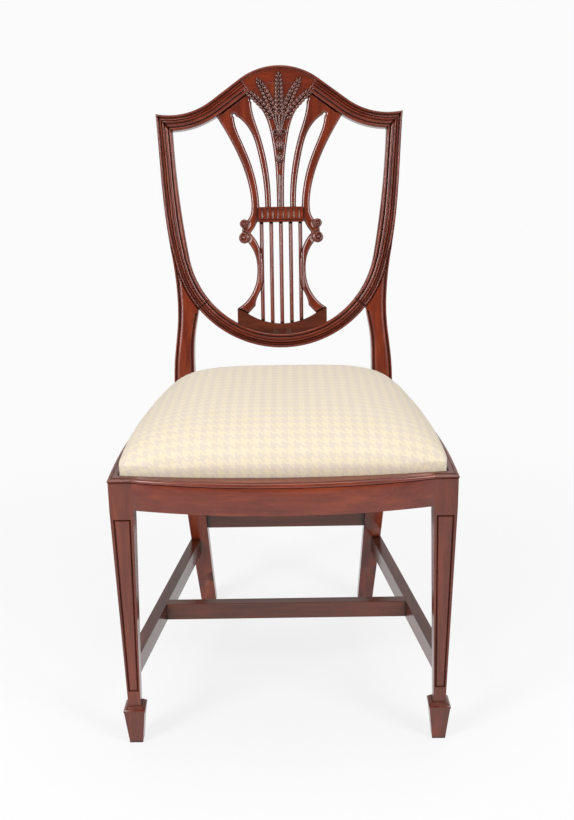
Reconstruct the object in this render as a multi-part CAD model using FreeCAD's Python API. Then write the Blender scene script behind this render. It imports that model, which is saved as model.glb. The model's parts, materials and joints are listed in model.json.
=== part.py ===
# Shield back dining chair: mahogany frame with a pierced lyre splat and a lift-out slip seat.
# Millimetres, +Z up, the front faces -Y. The origin is on the floor, below the middle of the chair's box.
# Pieces are drawn with Y = 0 on the front plane of the front legs, and moved to the origin when written.
import FreeCAD
import Part
import math
import os

V = FreeCAD.Vector

# Seat frame
RAIL_TOP = 434.0            # top of the seat rails
RAIL_HEIGHT = 48.0
RAIL_DEPTH_SIDE = 22.0      # thickness of a side rail
BEAD_HEIGHT = 7.0           # half-round bead along the top outer edge
BEAD_PROUD = 1.0
FRONT_BOW = 29.0            # how far the front rail bows forward of the legs
SIDE_BOW = 14.0             # how far a side rail bows outwards
FRONT_RAIL_BACK_END = 26.0  # back of the front rail, at the legs and in the middle
FRONT_RAIL_BACK_MIDDLE = 10.0
BACK_RAIL_THICK = 26.0
REBATE_DEPTH = 13.0         # the slip seat drops this far into the rails
SEAT_GAP = 1.0              # running clearance round the slip seat

# Front legs
LEG_X = 232.0               # axis of a front leg, either side of the middle
LEG_TOP = 34.0              # square, beside the rails
ANKLE_WIDTH = 18.5
ANKLE_HEIGHT = 64.0
SPADE_WIDTH = 31.5
SPADE_HEIGHT = 57.0
SPADE_SOLE = 20.0
PANEL_TOP = 371.0           # the incised panel on a leg's front and outer face
PANEL_BOTTOM = 89.0
PANEL_MARGIN = 0.14         # of the leg's width, each side
INCISION = 1.3
INCISION_DEPTH = 0.8

# Back legs and the raked back
BACK_Y = 448.0              # front face of the back legs at the seat
RAKE = 11.0                 # degrees from upright
BACK_LEG_DEPTH = 35.0       # front to back, at the seat
FOOT_BACK_Y = 476.0         # front face of a back foot
FOOT_DEPTH = 26.0
SHIELD_THICK = 21.0
POST_OUTER = 196.5          # half width over the back legs at the seat
POST_INNER = 160.0

# Shield, in the plane of the back: x from the middle, s up the slope from the top of the rails
APEX_S = 572.0
CREST_WIDTH = 27.5          # width of the moulded crest
DOME_RADIUS = 118.0
SHOULDER_ANGLE = 36.0
SHOULDER_X = 120.0          # where the straight shoulder turns into the hollow
HOLLOW_RADIUS = 125.0
CORNER_X = 218.0
INNER_CORNER_X = 189.6
BOWL_CENTRE_S = 269.5       # the lower half of the shield is a ring about this point
BOWL_INNER = 168.2
BOWL_OUTER = 193.0
BOWL_END_S = 240.0          # above this the inner edge runs up to the corner in one long arc
FORK_ANGLE = 50.8           # where the ring leaves the post, from straight down

# Splat
SPLAT_THICK = 11.0
SPLAT_SET_BACK = 5.0
TABLET_HALF = 39.5
TABLET_LOW = 300.0
TABLET_HIGH = 326.5
TABLET_THICK = 5.0
FLUTES = 8
FLUTE_WIDTH = 5.0
STRING_PITCH = 17.3
STRING_WIDTH = 7.2
STRING_DEPTH = 7.0
STRING_TENON = 4.4
LUNETTE_HALF = 80.0
LUNETTE_TIP_S = 148.0
LUNETTE_HOLLOW_X = 61.0
LUNETTE_HOLLOW_S = 138.0
LUNETTE_MIDDLE_S = 119.8
LUNETTE_FRONT = -2.0
LUNETTE_BACK = -18.0

# Stretchers
STRETCHER_TOP = 140.0
STRETCHER_HEIGHT = 30.0
STRETCHER_WIDTH = 18.0
STRETCHER_BACK_X = 169.0    # axis of a side stretcher inside the back leg
CROSS_Y = 190.5             # front face of the cross stretcher
CROSS_HEIGHT = 28.0
REAR_STRETCHER_LOW = 161.0
REAR_STRETCHER_Y = 462.0

# Slip seat
SEAT_SIDE_INSET = 13.0      # from a side rail's outer face to the cover
SEAT_FRONT_MIDDLE = -2.0    # front of the cover in the middle and at its corners
SEAT_FRONT_CORNER = 15.0
SEAT_CORNER_X = 229.0
SEAT_BACK_GAP = 1.5
CROWN_TOP = 502.0
CROWN_RADIUS = 1250.0
CROWN_EDGE = 12.0
SEAT_CORNER_ROUND = 16.0
COVER_THICK = 1.5
BOTTOM_CLOTH = 0.7
REST_GAP = 0.3
SLIP_THICK = 18.0
SLIP_WIDTH = 52.0
WEB_WIDTH = 50.0
WEB_THICK = 1.5
HESSIAN_THICK = 0.8

rail_low = RAIL_TOP - RAIL_HEIGHT
ledge = RAIL_TOP - REBATE_DEPTH
leg_inner = LEG_X - LEG_TOP / 2
leg_outer = LEG_X + LEG_TOP / 2
rake = math.radians(RAKE)
BIG = 2000.0


# Small drawing helpers

def box(x0, x1, y0, y1, z0, z1):
    return Part.makeBox(x1 - x0, y1 - y0, z1 - z0, V(x0, y0, z0))


def line(a, b):
    return Part.LineSegment(V(*a, 0), V(*b, 0)).toShape()


def arc(a, middle, b):
    return Part.Arc(V(*a, 0), V(*middle, 0), V(*b, 0)).toShape()


def curve(*points):
    spline = Part.BSplineCurve()
    spline.interpolate([V(*p, 0) for p in points])
    return spline.toShape()


def plate(edges, low, high):
    face = Part.Face(Part.Wire(edges))
    solid = face.extrude(V(0, 0, high - low))
    solid.translate(V(0, 0, low))
    return solid


def polygon(points, low, high):
    closed = list(points) + [points[0]]
    return plate([line(a, b) for a, b in zip(closed, closed[1:])], low, high)


def on_back(shape):
    # Local X, Y and Z become across, up the rake and out of the front of the back
    placed = shape.copy()
    placed.rotate(V(0, 0, 0), V(1, 0, 0), 90 - RAKE)
    return placed.translated(V(0, BACK_Y, RAIL_TOP))


def mirrored(shape):
    return shape.mirror(V(0, 0, 0), V(1, 0, 0))


def both(shape):
    return shape.fuse(mirrored(shape))


def tidy(shape):
    return shape.removeSplitter()


def largest(shape):
    return max(shape.Solids, key=lambda solid: solid.Volume)


def square(width, z):
    half = width / 2
    corners = [V(-half, -half, z), V(half, -half, z), V(half, half, z), V(-half, half, z)]
    return Part.makePolygon(corners + [corners[0]])


def fillet_where(shape, radius, keep):
    edges = [edge for edge in shape.Edges if keep(edge.BoundBox)]
    return shape.makeFillet(radius, edges)


# Plan of the seat: discs whose rims are the bowed fronts and sides

def bow_circle(a, b, bow):
    # Centre and radius of the circle through a and b that bulges by bow to the right of a -> b
    chord = math.dist(a, b)
    radius = (chord ** 2 / 4 + bow ** 2) / (2 * bow)
    out_x = (b[1] - a[1]) / chord
    out_y = -(b[0] - a[0]) / chord
    reach = radius - bow
    return ((a[0] + b[0]) / 2 - out_x * reach, (a[1] + b[1]) / 2 - out_y * reach, radius)


side_circle = bow_circle((leg_outer, LEG_TOP), (POST_OUTER, BACK_Y), SIDE_BOW)
front_circle = bow_circle((-leg_inner, 0), (leg_inner, 0), FRONT_BOW)
seat_circle = bow_circle((-SEAT_CORNER_X, SEAT_FRONT_CORNER), (SEAT_CORNER_X, SEAT_FRONT_CORNER),
                         SEAT_FRONT_CORNER - SEAT_FRONT_MIDDLE)
rail_back_circle = bow_circle((-leg_inner, FRONT_RAIL_BACK_END), (leg_inner, FRONT_RAIL_BACK_END),
                              FRONT_RAIL_BACK_END - FRONT_RAIL_BACK_MIDDLE)


def disc(circle, inset, z0, z1):
    x, y, radius = circle
    return Part.makeCylinder(radius - inset, z1 - z0, V(x, y, z0))


def seat_plan(inset, z0, z1):
    # The slip seat's outline, drawn in by inset all round
    right = disc(side_circle, SEAT_SIDE_INSET + inset, z0, z1)
    shape = right.common(mirrored(right))
    shape = shape.common(disc(seat_circle, inset, z0, z1))
    return shape.common(box(-BIG, BIG, -BIG, BACK_Y - SEAT_BACK_GAP - inset, z0, z1))


# Seat rails

def bead_face(depth):
    # The bead's section: X outwards from the rail's face, Z up from the bead's lower edge
    # A sunk line parts the bead from the rail's face below it and from the rim behind it
    low = (-0.26 * BEAD_HEIGHT, 0)
    high = (-0.57 * BEAD_HEIGHT, 0.9 * BEAD_HEIGHT)
    sunk = (-0.69 * BEAD_HEIGHT, 0.8 * BEAD_HEIGHT)
    rim = (-0.8 * BEAD_HEIGHT, BEAD_HEIGHT)
    edges = [line((-depth, 0), low), arc(low, (BEAD_PROUD, 0.47 * BEAD_HEIGHT), high), line(high, sunk),
             line(sunk, rim), line(rim, (-depth, BEAD_HEIGHT)), line((-depth, BEAD_HEIGHT), (-depth, 0))]
    face = Part.Face(Part.Wire(edges))
    face.rotate(V(0, 0, 0), V(1, 0, 0), 90)
    return face.translated(V(0, 0, RAIL_TOP - BEAD_HEIGHT))


def bead_ring(circle, depth):
    x, y, radius = circle
    face = bead_face(depth).translated(V(x + radius, y, 0))
    return face.revolve(V(x, y, 0), V(0, 0, 1), 360)


def side_rail_blank():
    reach = box(0, BIG, LEG_TOP, BACK_Y, rail_low, RAIL_TOP)
    outer = disc(side_circle, 0, rail_low, RAIL_TOP - BEAD_HEIGHT)
    inner = disc(side_circle, RAIL_DEPTH_SIDE, rail_low, RAIL_TOP - BEAD_HEIGHT)
    body = outer.cut(inner).common(reach)
    bead = bead_ring(side_circle, RAIL_DEPTH_SIDE).common(reach)
    return body.fuse(bead).cut(seat_plan(-SEAT_GAP, ledge, BIG))


def front_rail_blank():
    bead_low = RAIL_TOP - BEAD_HEIGHT
    reach = box(-leg_inner, leg_inner, -BIG, FRONT_RAIL_BACK_END, rail_low, RAIL_TOP)
    hollow = disc(rail_back_circle, 0, rail_low, RAIL_TOP)
    body = disc(front_circle, 0, rail_low, bead_low).cut(hollow)
    bead = bead_ring(front_circle, 80).cut(hollow)
    return body.fuse(bead).common(reach).cut(seat_plan(-SEAT_GAP, ledge, BIG))


def rail_tenons():
    # Tongues that run on from the rails into the legs
    low = rail_low + 6
    high = ledge - 2
    front = box(leg_inner - 1, leg_inner + 19, 9, 19, low, high)
    side_front = box(leg_outer - 13, leg_outer - 4.5, LEG_TOP - 17, LEG_TOP + 1, low, high)
    side_back = box(POST_OUTER - 18, POST_OUTER - 9, BACK_Y - 1, BACK_Y + 20, low, high)
    back = box(POST_INNER - 6, POST_INNER + 14, BACK_Y + 22.5, BACK_Y + 31, low, high)
    back = back.translated(V(0, -13, 0))
    return front, side_front, side_back, back


# Front legs

def front_leg_blank():
    sections = [square(LEG_TOP, rail_low), square(ANKLE_WIDTH, ANKLE_HEIGHT)]
    taper = Part.makeLoft(sections, True, True)
    cap = Part.makeLoft([square(ANKLE_WIDTH, ANKLE_HEIGHT), square(SPADE_WIDTH - 2, SPADE_HEIGHT + 3),
                         square(SPADE_WIDTH, SPADE_HEIGHT)], True, True)
    spade = Part.makeLoft([square(SPADE_WIDTH, SPADE_HEIGHT), square(SPADE_SOLE, 0)], True, True)
    block = box(-LEG_TOP / 2, LEG_TOP / 2, -LEG_TOP / 2, LEG_TOP / 2, rail_low, RAIL_TOP)
    side_bead = bead_face(LEG_TOP).translated(V(LEG_TOP / 2, BIG, 0)).extrude(V(0, -2 * BIG, 0))
    front_bead = side_bead.copy()
    front_bead.rotate(V(0, 0, 0), V(0, 0, 1), -90)
    bead = side_bead.common(front_bead)
    leg = tidy(taper.fuse([cap, spade, block]))
    leg = leg.cut(box(-BIG, BIG, -BIG, BIG, RAIL_TOP - BEAD_HEIGHT, BIG)).fuse(bead)
    for turn in (0, 90):
        leg = leg.cut(panel_incision(turn))
    leg = leg.translated(V(LEG_X, LEG_TOP / 2, 0))
    return leg.cut(seat_plan(-SEAT_GAP, ledge, BIG))


def leg_width(z):
    share = (z - ANKLE_HEIGHT) / (rail_low - ANKLE_HEIGHT)
    return ANKLE_WIDTH + (LEG_TOP - ANKLE_WIDTH) * share


def panel_incision(turn):
    # A fine line round a tapered panel, on the front face at 0 and on the outer face at 90
    def ring(shrink, z_shrink):
        points = []
        for z, sign in ((PANEL_TOP - z_shrink, -1), (PANEL_TOP - z_shrink, 1),
                        (PANEL_BOTTOM + z_shrink, 1), (PANEL_BOTTOM + z_shrink, -1)):
            width = leg_width(z)
            points.append(V(sign * (width / 2 - width * PANEL_MARGIN - shrink), -width / 2, z))
        return Part.Face(Part.makePolygon(points + [points[0]]))
    deep = V(0, INCISION_DEPTH, 0)
    start = V(0, -0.2, 0)
    outer = ring(0, 0).translated(start).extrude(deep - start)
    inner = ring(INCISION, INCISION).translated(start * 2).extrude(deep - start * 4)
    line_cut = outer.cut(inner)
    line_cut.rotate(V(0, 0, 0), V(0, 0, 1), turn)
    return line_cut


# Shield outlines

def polar(radius, degrees):
    # A point of the shield's lower ring, by its angle from straight down
    angle = math.radians(degrees)
    return (radius * math.sin(angle), BOWL_CENTRE_S - radius * math.cos(angle))


def crest_points(inset):
    # Half of the crest's outline, drawn down from the top edge by inset
    angle = math.radians(SHOULDER_ANGLE)
    dome = DOME_RADIUS - inset
    dome_centre = APEX_S - DOME_RADIUS
    hollow = HOLLOW_RADIUS + inset
    dome_end_x = DOME_RADIUS * math.sin(angle)
    shoulder_s = dome_centre + DOME_RADIUS * math.cos(angle) - (SHOULDER_X - dome_end_x) * math.tan(angle)
    centre = (SHOULDER_X + HOLLOW_RADIUS * math.sin(angle), shoulder_s + HOLLOW_RADIUS * math.cos(angle))

    def on_dome(a):
        return (dome * math.sin(a), dome_centre + dome * math.cos(a))

    def on_hollow(a):
        return (centre[0] - hollow * math.sin(a), centre[1] - hollow * math.cos(a))
    return on_dome, on_hollow, angle, centre, hollow


def crest_edge(inset, end_x):
    on_dome, on_hollow, angle, centre, hollow = crest_points(inset)
    end = math.asin((centre[0] - end_x) / hollow)
    edges = [arc(on_dome(0), on_dome(angle / 2), on_dome(angle)), line(on_dome(angle), on_hollow(angle)),
             arc(on_hollow(angle), on_hollow((angle + end) / 2), on_hollow(end))]
    return edges, on_dome(0), on_hollow(end)


def crest_band(inset, width, end_top, end_low):
    # A strip of the crest between two depths below its top edge
    top, top_start, top_end = crest_edge(inset, end_top)
    low, low_start, low_end = crest_edge(inset + width, end_low)
    edges = top + low + [line(top_end, low_end), line(low_start, top_start)]
    return Part.Wire(Part.__sortEdges__(edges))


def crest_blank():
    wire = crest_band(0, CREST_WIDTH, CORNER_X, INNER_CORNER_X)
    half = Part.Face(wire).extrude(V(0, 0, -SHIELD_THICK))
    return tidy(both(half))


def inner_corner():
    return crest_edge(CREST_WIDTH, INNER_CORNER_X)[2]


def outer_corner():
    return crest_edge(0, CORNER_X)[2]


def bowl_end():
    # Where the shield's inner edge leaves the lower ring
    angle = math.degrees(math.acos((BOWL_CENTRE_S - BOWL_END_S) / BOWL_INNER))
    return polar(BOWL_INNER, angle), angle


def stile_inner_middle():
    # A point halfway up the long arc, which starts along the ring
    (x0, s0), angle = bowl_end()
    x1, s1 = inner_corner()
    chord = math.dist((x0, s0), (x1, s1))
    start = math.radians(90 - angle)
    lean = math.atan2(x1 - x0, s1 - s0)
    bulge = chord / 2 * math.tan((start - lean) / 2)
    return ((x0 + x1) / 2 + bulge * math.cos(lean), (s0 + s1) / 2 - bulge * math.sin(lean))


# Back legs: one piece from the floor to the shield's corner

def back_leg_side(low_reach=0.0):
    # Side view as (y, z): raked above the rails, upright beside them, swept back to the foot
    def raked(s, depth):
        return (BACK_Y + s * math.sin(rake) + depth * math.cos(rake),
                RAIL_TOP + s * math.cos(rake) - depth * math.sin(rake))
    top = APEX_S
    front = [line(raked(top, 0), (BACK_Y, RAIL_TOP)), line((BACK_Y, RAIL_TOP), (BACK_Y, rail_low)),
             curve((BACK_Y, rail_low), (BACK_Y + 1, 300), (BACK_Y + 7, 140), (FOOT_BACK_Y, 0))]
    heel = (FOOT_BACK_Y + FOOT_DEPTH, 0)
    back = [line((FOOT_BACK_Y, 0), heel),
            curve(heel, (BACK_Y + 36, 140), (BACK_Y + BACK_LEG_DEPTH - 1, 300),
                  (BACK_Y + BACK_LEG_DEPTH, 400), raked(70, 30), raked(150, SHIELD_THICK + 1.5),
                  raked(220, SHIELD_THICK)),
            line(raked(220, SHIELD_THICK), raked(top, SHIELD_THICK)),
            line(raked(top, SHIELD_THICK), raked(top, 0))]
    profile = plate(front + back, 0, 260)
    # Turn the drawing's X and Y into the chair's Y and Z
    profile.rotate(V(0, 0, 0), V(1, 1, 1), 120)
    return profile


def back_leg_face():
    # Front view in the plane of the back, for the right-hand leg
    start, _ = bowl_end()
    fork_out = polar(BOWL_OUTER, FORK_ANGLE)
    fork_in = polar(BOWL_INNER, FORK_ANGLE)
    ring_middle = polar(BOWL_INNER, (FORK_ANGLE + bowl_end()[1]) / 2)
    outer = curve(outer_corner(), (213.5, 420), (209, 350), (202, 285), (192.5, 225), (187.5, 175),
                  (187, 135), (190.5, 95), (195, 55), (POST_OUTER, 10), (POST_OUTER - 1, -40))
    outer_low = curve((POST_OUTER - 1, -40), (182.5, -245), (168.5, -390), (164, -440))
    inner_low = curve((136.5, -440), (139.5, -390), (147.8, -260), (POST_INNER - 1.5, -60), (POST_INNER, 10),
                      (POST_INNER, 70), (157, 108), (152.5, 132), fork_out)
    edges = [outer, outer_low, line((164, -440), (136.5, -440)), inner_low, line(fork_out, fork_in),
             arc(fork_in, ring_middle, start), arc(start, stile_inner_middle(), inner_corner()),
             line(inner_corner(), outer_corner())]
    return plate(edges, -250, 120)


def back_leg_blank():
    leg = on_back(back_leg_face()).common(back_leg_side())
    return tidy(leg)


def corner_tenon():
    # The leg's tongue into the crest, across the mitre
    return on_back(box(194, 210, 452, 484, -15, -7))


# Lower shield rail

def shield_rail_blank():
    left = polar(BOWL_OUTER, -FORK_ANGLE)
    right = polar(BOWL_OUTER, FORK_ANGLE)
    left_in = polar(BOWL_INNER, -FORK_ANGLE)
    right_in = polar(BOWL_INNER, FORK_ANGLE)
    edges = [arc(left, polar(BOWL_OUTER, 0), right), line(right, right_in),
             arc(right_in, polar(BOWL_INNER, 0), left_in), line(left_in, left)]
    return on_back(plate(edges, -SHIELD_THICK, 0))


def fork_tenon():
    # A tongue along the ring, from the rail's end into the post
    middle = polar((BOWL_INNER + BOWL_OUTER) / 2, FORK_ANGLE)
    tongue = box(-6, 16, -6.5, 6.5, -15, -7)
    tongue.rotate(V(0, 0, 0), V(0, 0, 1), FORK_ANGLE)
    tongue.translate(V(*middle, 0))
    return on_back(tongue)


# Splat: five ribs that spring from a fluted tablet, over a lyre

def slot(left, right, tip, tip_radius):
    # An opening between two ribs, with a small round hole at its upper end
    edges = [curve(*left, tip), curve(*right, tip), line(left[0], right[0])]
    wire = Part.Wire(Part.__sortEdges__(edges))
    opening = Part.Face(wire).extrude(V(0, 0, 60)).translated(V(0, 0, -30))
    hole = Part.makeCylinder(tip_radius, 60, V(tip[0], tip[1] - 0.5, -30))
    return opening.fuse(hole)


def rib_slots():
    low = TABLET_HIGH
    inner = slot([(6.5, low), (6.8, 365), (9, 407), (14, 445), (22.5, 480), (34, 501)],
                 [(17, low), (19, 376), (25.5, 418), (36.5, 459), (45.5, 487), (48.5, 504)],
                 (48.5, 514), 2.4)
    outer = slot([(27.5, low), (30.5, 376), (38, 418), (51, 459), (65, 478)],
                 [(37.5, low), (41.5, 365), (52.5, 407), (69, 447), (78, 472)],
                 (80, 488.5), 2.4)
    return both(inner.fuse(outer))


def upper_splat():
    # The head is drawn up into the crest and trimmed by it
    side = [(116, 493), (107.5, 480), (91, 452), (74, 418), (60, 380), (53.5, 350), (52, 330),
            (53.5, 316), (59, 305)]
    lower = [(59, 305), (64, 296), (54.5, 281), (47, 291), (41, 303), (TABLET_HALF, TABLET_LOW)]
    edges = [line((0, 558), (60, 536)), line((60, 536), side[0]), curve(*side)]
    edges += [line(a, b) for a, b in zip(lower, lower[1:])]
    edges += [line(lower[-1], (0, TABLET_LOW)), line((0, TABLET_LOW), (0, 558))]
    half = plate(edges, -SPLAT_SET_BACK - SPLAT_THICK, -SPLAT_SET_BACK)
    return both(half).cut(rib_slots())


def lyre_arm():
    outer = [(58, 263), (50, 250), (45.5, 237), (43.5, 215), (45.5, 196), (53, 176), (63, 161.5),
             (LUNETTE_HALF, LUNETTE_TIP_S)]
    inner = [(47.5, 152), (46, 162), (37.5, 181), (32.5, 198), (31.5, 215), (33.5, 235), (38, 254),
             (46, 271), (54.5, 281)]
    edges = [curve(*outer), line(outer[-1], (LUNETTE_HOLLOW_X, LUNETTE_HOLLOW_S)),
             line((LUNETTE_HOLLOW_X, LUNETTE_HOLLOW_S), inner[0]), curve(*inner),
             line(inner[-1], (66, 281)), line((66, 281), outer[0])]
    return plate(edges, -SPLAT_SET_BACK - SPLAT_THICK, -SPLAT_SET_BACK)


def scroll(x, s, radius):
    depth = SPLAT_THICK + 1.5
    return Part.makeCylinder(radius, depth, V(x, s, -SPLAT_SET_BACK - SPLAT_THICK))


def neck():
    points = [(47, 291), (54.5, 281), (57, 272), (69, 276), (69.5, 288), (64, 300)]
    return polygon(points, -SPLAT_SET_BACK - SPLAT_THICK, -SPLAT_SET_BACK)


def splat_blank():
    side = lyre_arm().fuse([scroll(65.5, 298, 8), scroll(65.5, 273, 10), neck()])
    return on_back(tidy(upper_splat().fuse([side, mirrored(side)])))


def splat_tongue():
    # The head's tongue, which follows the crest's lower edge
    wire = crest_band(CREST_WIDTH - 9, 12, 110, 106)
    half = Part.Face(wire).extrude(V(0, 0, -6)).translated(V(0, 0, -7.5))
    return on_back(both(half))


def splat_foot_tenon():
    return on_back(both(box(66, 76, 134, 150, -14, -7)))


def tablet():
    face = TABLET_THICK - SPLAT_SET_BACK
    body = box(-TABLET_HALF, TABLET_HALF, TABLET_LOW, TABLET_HIGH, -SPLAT_SET_BACK, face)
    body = body.cut(box(-TABLET_HALF, TABLET_HALF, TABLET_LOW + 3.5, TABLET_LOW + 4.7, face - 1, face + 1))
    pitch = (TABLET_HALF * 2 - 4) / FLUTES
    length = TABLET_HIGH - TABLET_LOW - 9
    for number in range(FLUTES):
        foot = V((number - (FLUTES - 1) / 2) * pitch, TABLET_LOW + 6.5, face + 0.6)
        body = body.cut(Part.makeCylinder(FLUTE_WIDTH / 2, length, foot, V(0, 1, 0)))
    return on_back(body)


def string_shapes():
    # Bars with a small tenon at each end: plain bars and the tenons that run on
    bars = []
    middle = -SPLAT_SET_BACK - SPLAT_THICK / 2
    for number in range(-2, 3):
        x = number * STRING_PITCH
        bar = box(x - STRING_WIDTH / 2, x + STRING_WIDTH / 2, 100, TABLET_LOW,
                  middle - STRING_DEPTH / 2, middle + STRING_DEPTH / 2)
        tenon = box(x - STRING_TENON / 2, x + STRING_TENON / 2, LUNETTE_MIDDLE_S - 6, TABLET_LOW + 6,
                    middle - STRING_TENON / 2, middle + STRING_TENON / 2)
        bars.append((on_back(bar), on_back(tenon)))
    return bars


def lunette_blank():
    tip = (LUNETTE_HALF, LUNETTE_TIP_S)
    tip_left = (-LUNETTE_HALF, LUNETTE_TIP_S)
    hollow = (LUNETTE_HOLLOW_X, LUNETTE_HOLLOW_S)
    hollow_left = (-LUNETTE_HOLLOW_X, LUNETTE_HOLLOW_S)
    seat_angle = math.degrees(math.asin(LUNETTE_HALF / BOWL_INNER))
    edges = [line(tip_left, hollow_left), arc(hollow_left, (0, LUNETTE_MIDDLE_S), hollow), line(hollow, tip),
             line(tip, polar(BOWL_INNER, seat_angle)),
             arc(polar(BOWL_INNER, seat_angle), polar(BOWL_INNER, 0), polar(BOWL_INNER, -seat_angle)),
             line(polar(BOWL_INNER, -seat_angle), tip_left)]
    return on_back(plate(edges, LUNETTE_BACK, LUNETTE_FRONT))


def lunette_dowels():
    dowel = Part.makeCylinder(3, 22, V(45, 98, -10), V(0, 1, 0))
    return on_back(both(dowel))


# Stretchers

def side_stretcher_shapes():
    start = V(LEG_X, LEG_TOP / 2, 0)
    end = V(STRETCHER_BACK_X, BACK_Y + 22, 0)
    along = end - start
    length = along.Length
    turn = math.degrees(math.atan2(along.y, along.x))

    def bar(from_start, to_end, width, low, high):
        shape = box(from_start, length - to_end, -width / 2, width / 2, low, high)
        shape.rotate(V(0, 0, 0), V(0, 0, 1), turn)
        shape.translate(start)
        return shape
    low = STRETCHER_TOP - STRETCHER_HEIGHT
    body = bar(0, 0, STRETCHER_WIDTH, low, STRETCHER_TOP)
    tenon = bar(-2, -2, STRETCHER_WIDTH / 2, low + 6, STRETCHER_TOP - 6)
    return body, tenon


def cross_stretcher_shapes():
    low = STRETCHER_TOP - CROSS_HEIGHT
    body = box(-LEG_X, LEG_X, CROSS_Y, CROSS_Y + STRETCHER_WIDTH, low, STRETCHER_TOP)
    middle = CROSS_Y + STRETCHER_WIDTH / 2
    reach = cross_reach() + 8
    tenon = box(-reach, reach, middle - 4, middle + 4, low + 5, STRETCHER_TOP - 5)
    return body, tenon


def cross_reach():
    # Half the distance between the side stretchers' axes at the cross stretcher, less half a width
    share = (CROSS_Y - LEG_TOP / 2) / (BACK_Y + 22 - LEG_TOP / 2)
    return LEG_X + (STRETCHER_BACK_X - LEG_X) * share - STRETCHER_WIDTH / 2


def rear_stretcher_shapes():
    high = REAR_STRETCHER_LOW + STRETCHER_HEIGHT
    back = REAR_STRETCHER_Y + STRETCHER_WIDTH
    body = box(-STRETCHER_BACK_X, STRETCHER_BACK_X, REAR_STRETCHER_Y, back, REAR_STRETCHER_LOW, high)
    tenon = box(-STRETCHER_BACK_X + 5, STRETCHER_BACK_X - 5, REAR_STRETCHER_Y + 5, back - 5,
                REAR_STRETCHER_LOW + 5, high - 5)
    return body, tenon


# Corner blocks and screws

BLOCK_LOW = rail_low + 6
BLOCK_HIGH = ledge - 4


def block_outlines():
    front = polygon([(150, 8), (245, 8), (232, 98)], BLOCK_LOW, BLOCK_HIGH)
    back = polygon([(205, 372), (190, BACK_Y + 4), (105, BACK_Y + 4)], BLOCK_LOW, BLOCK_HIGH)
    return front, back


def screw(at, direction, length=30.0):
    shank = Part.makeCylinder(2, length, at, direction)
    head = Part.makeCone(3.8, 2, 3.2, at, direction)
    return shank.fuse(head)


def block_screws():
    z = (BLOCK_LOW + BLOCK_HIGH) / 2
    across = V(math.cos(math.radians(7)), math.sin(math.radians(7)), 0)
    across_back = V(math.cos(math.radians(12)), math.sin(math.radians(12)), 0)
    return [screw(V(182, 42, z - 4), V(0, -1, 0)), screw(V(208, 66, z + 5), across),
            screw(V(130, BACK_Y - 17, z - 4), V(0, 1, 0)), screw(V(170, 405, z + 5), across_back)]


# Slip seat

cover_low = ledge + REST_GAP + BOTTOM_CLOTH
slip_low = cover_low + COVER_THICK
slip_high = slip_low + SLIP_THICK
web_high = slip_high + 2 * WEB_THICK
stuffing_low = web_high + HESSIAN_THICK


def seat_board(inset, low, high):
    # The slip seat's outline with its four corners rounded
    blank = seat_plan(inset, low, high)
    radius = max(SEAT_CORNER_ROUND - inset, 2)
    return fillet_where(blank, radius, lambda b: b.XLength < 0.1 and b.YLength < 0.1)


def crowned(inset, low):
    # The padded shape, drawn in by inset: bowed sides, rounded corners and edges, crowned top
    top = CROWN_TOP - inset
    shape = seat_board(inset, low, top)
    ball = Part.makeSphere(CROWN_RADIUS, V(0, (BACK_Y + SEAT_FRONT_MIDDLE) / 2, top - CROWN_RADIUS))
    shape = shape.common(ball)
    return fillet_where(shape, CROWN_EDGE - inset, lambda b: b.ZMin > low + 10)


def slip_members():
    frame = seat_board(COVER_THICK, slip_low, slip_high).cut(seat_plan(SLIP_WIDTH, slip_low, slip_high))
    front_y = SEAT_FRONT_CORNER + SLIP_WIDTH - 4
    back_y = BACK_Y - SEAT_BACK_GAP - SLIP_WIDTH
    front = frame.common(box(-BIG, BIG, -BIG, front_y, slip_low, slip_high))
    back = frame.common(box(-BIG, BIG, back_y, BIG, slip_low, slip_high))
    sides = frame.common(box(-BIG, BIG, front_y, back_y, slip_low, slip_high))
    right = max(sides.Solids, key=lambda solid: solid.CenterOfMass.x)
    left = min(sides.Solids, key=lambda solid: solid.CenterOfMass.x)
    dowels = []
    z = (slip_low + slip_high) / 2
    for y, half in ((front_y, 204.0), (back_y, 172.0)):
        for offset in (-11, 11):
            for sign in (-1, 1):
                dowels.append(Part.makeCylinder(4, 40, V(sign * (half + offset), y - 20, z), V(0, 1, 0)))
    pins = Part.makeCompound(dowels)
    return front.cut(pins), back.cut(pins), left.cut(pins), right.cut(pins), pins


def webbing():
    low = slip_high
    outline = seat_board(COVER_THICK + 6, low, low + 2 * WEB_THICK)
    lengthwise = []
    crosswise = []
    for number in (-1, 0, 1):
        x = number * 95.0
        y = BACK_Y / 2 - 5 + number * 100.0
        half = WEB_WIDTH / 2
        strap = box(x - half, x + half, -BIG, BIG, low, low + WEB_THICK)
        lengthwise.append(strap.common(outline))
        strap = box(-BIG, BIG, y - half, y + half, low + WEB_THICK, low + 2 * WEB_THICK)
        crosswise.append(strap.common(outline))
    return Part.makeCompound(lengthwise), Part.makeCompound(crosswise)


def cover_tacks():
    # Small tacks through the bottom cloth and the turned edge of the cover
    tacks = []
    low = ledge + REST_GAP
    for number in range(5):
        x = -160.0 + 80.0 * number
        tacks.append((x, 30.0))
        tacks.append((x * 0.8, BACK_Y - 20))
    for number in range(4):
        y = 90.0 + 90.0 * number
        half = 212.0 - 0.1 * (y - 90) - 0.00012 * (y - 90) ** 2
        tacks.append((half, y))
        tacks.append((-half, y))
    shapes = []
    for x, y in tacks:
        head = Part.makeCylinder(2.5, BOTTOM_CLOTH, V(x, y, low))
        shank = Part.makeCylinder(0.8, 10, V(x, y, low))
        shapes.append(head.fuse(shank))
    return Part.makeCompound(shapes)


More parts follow.
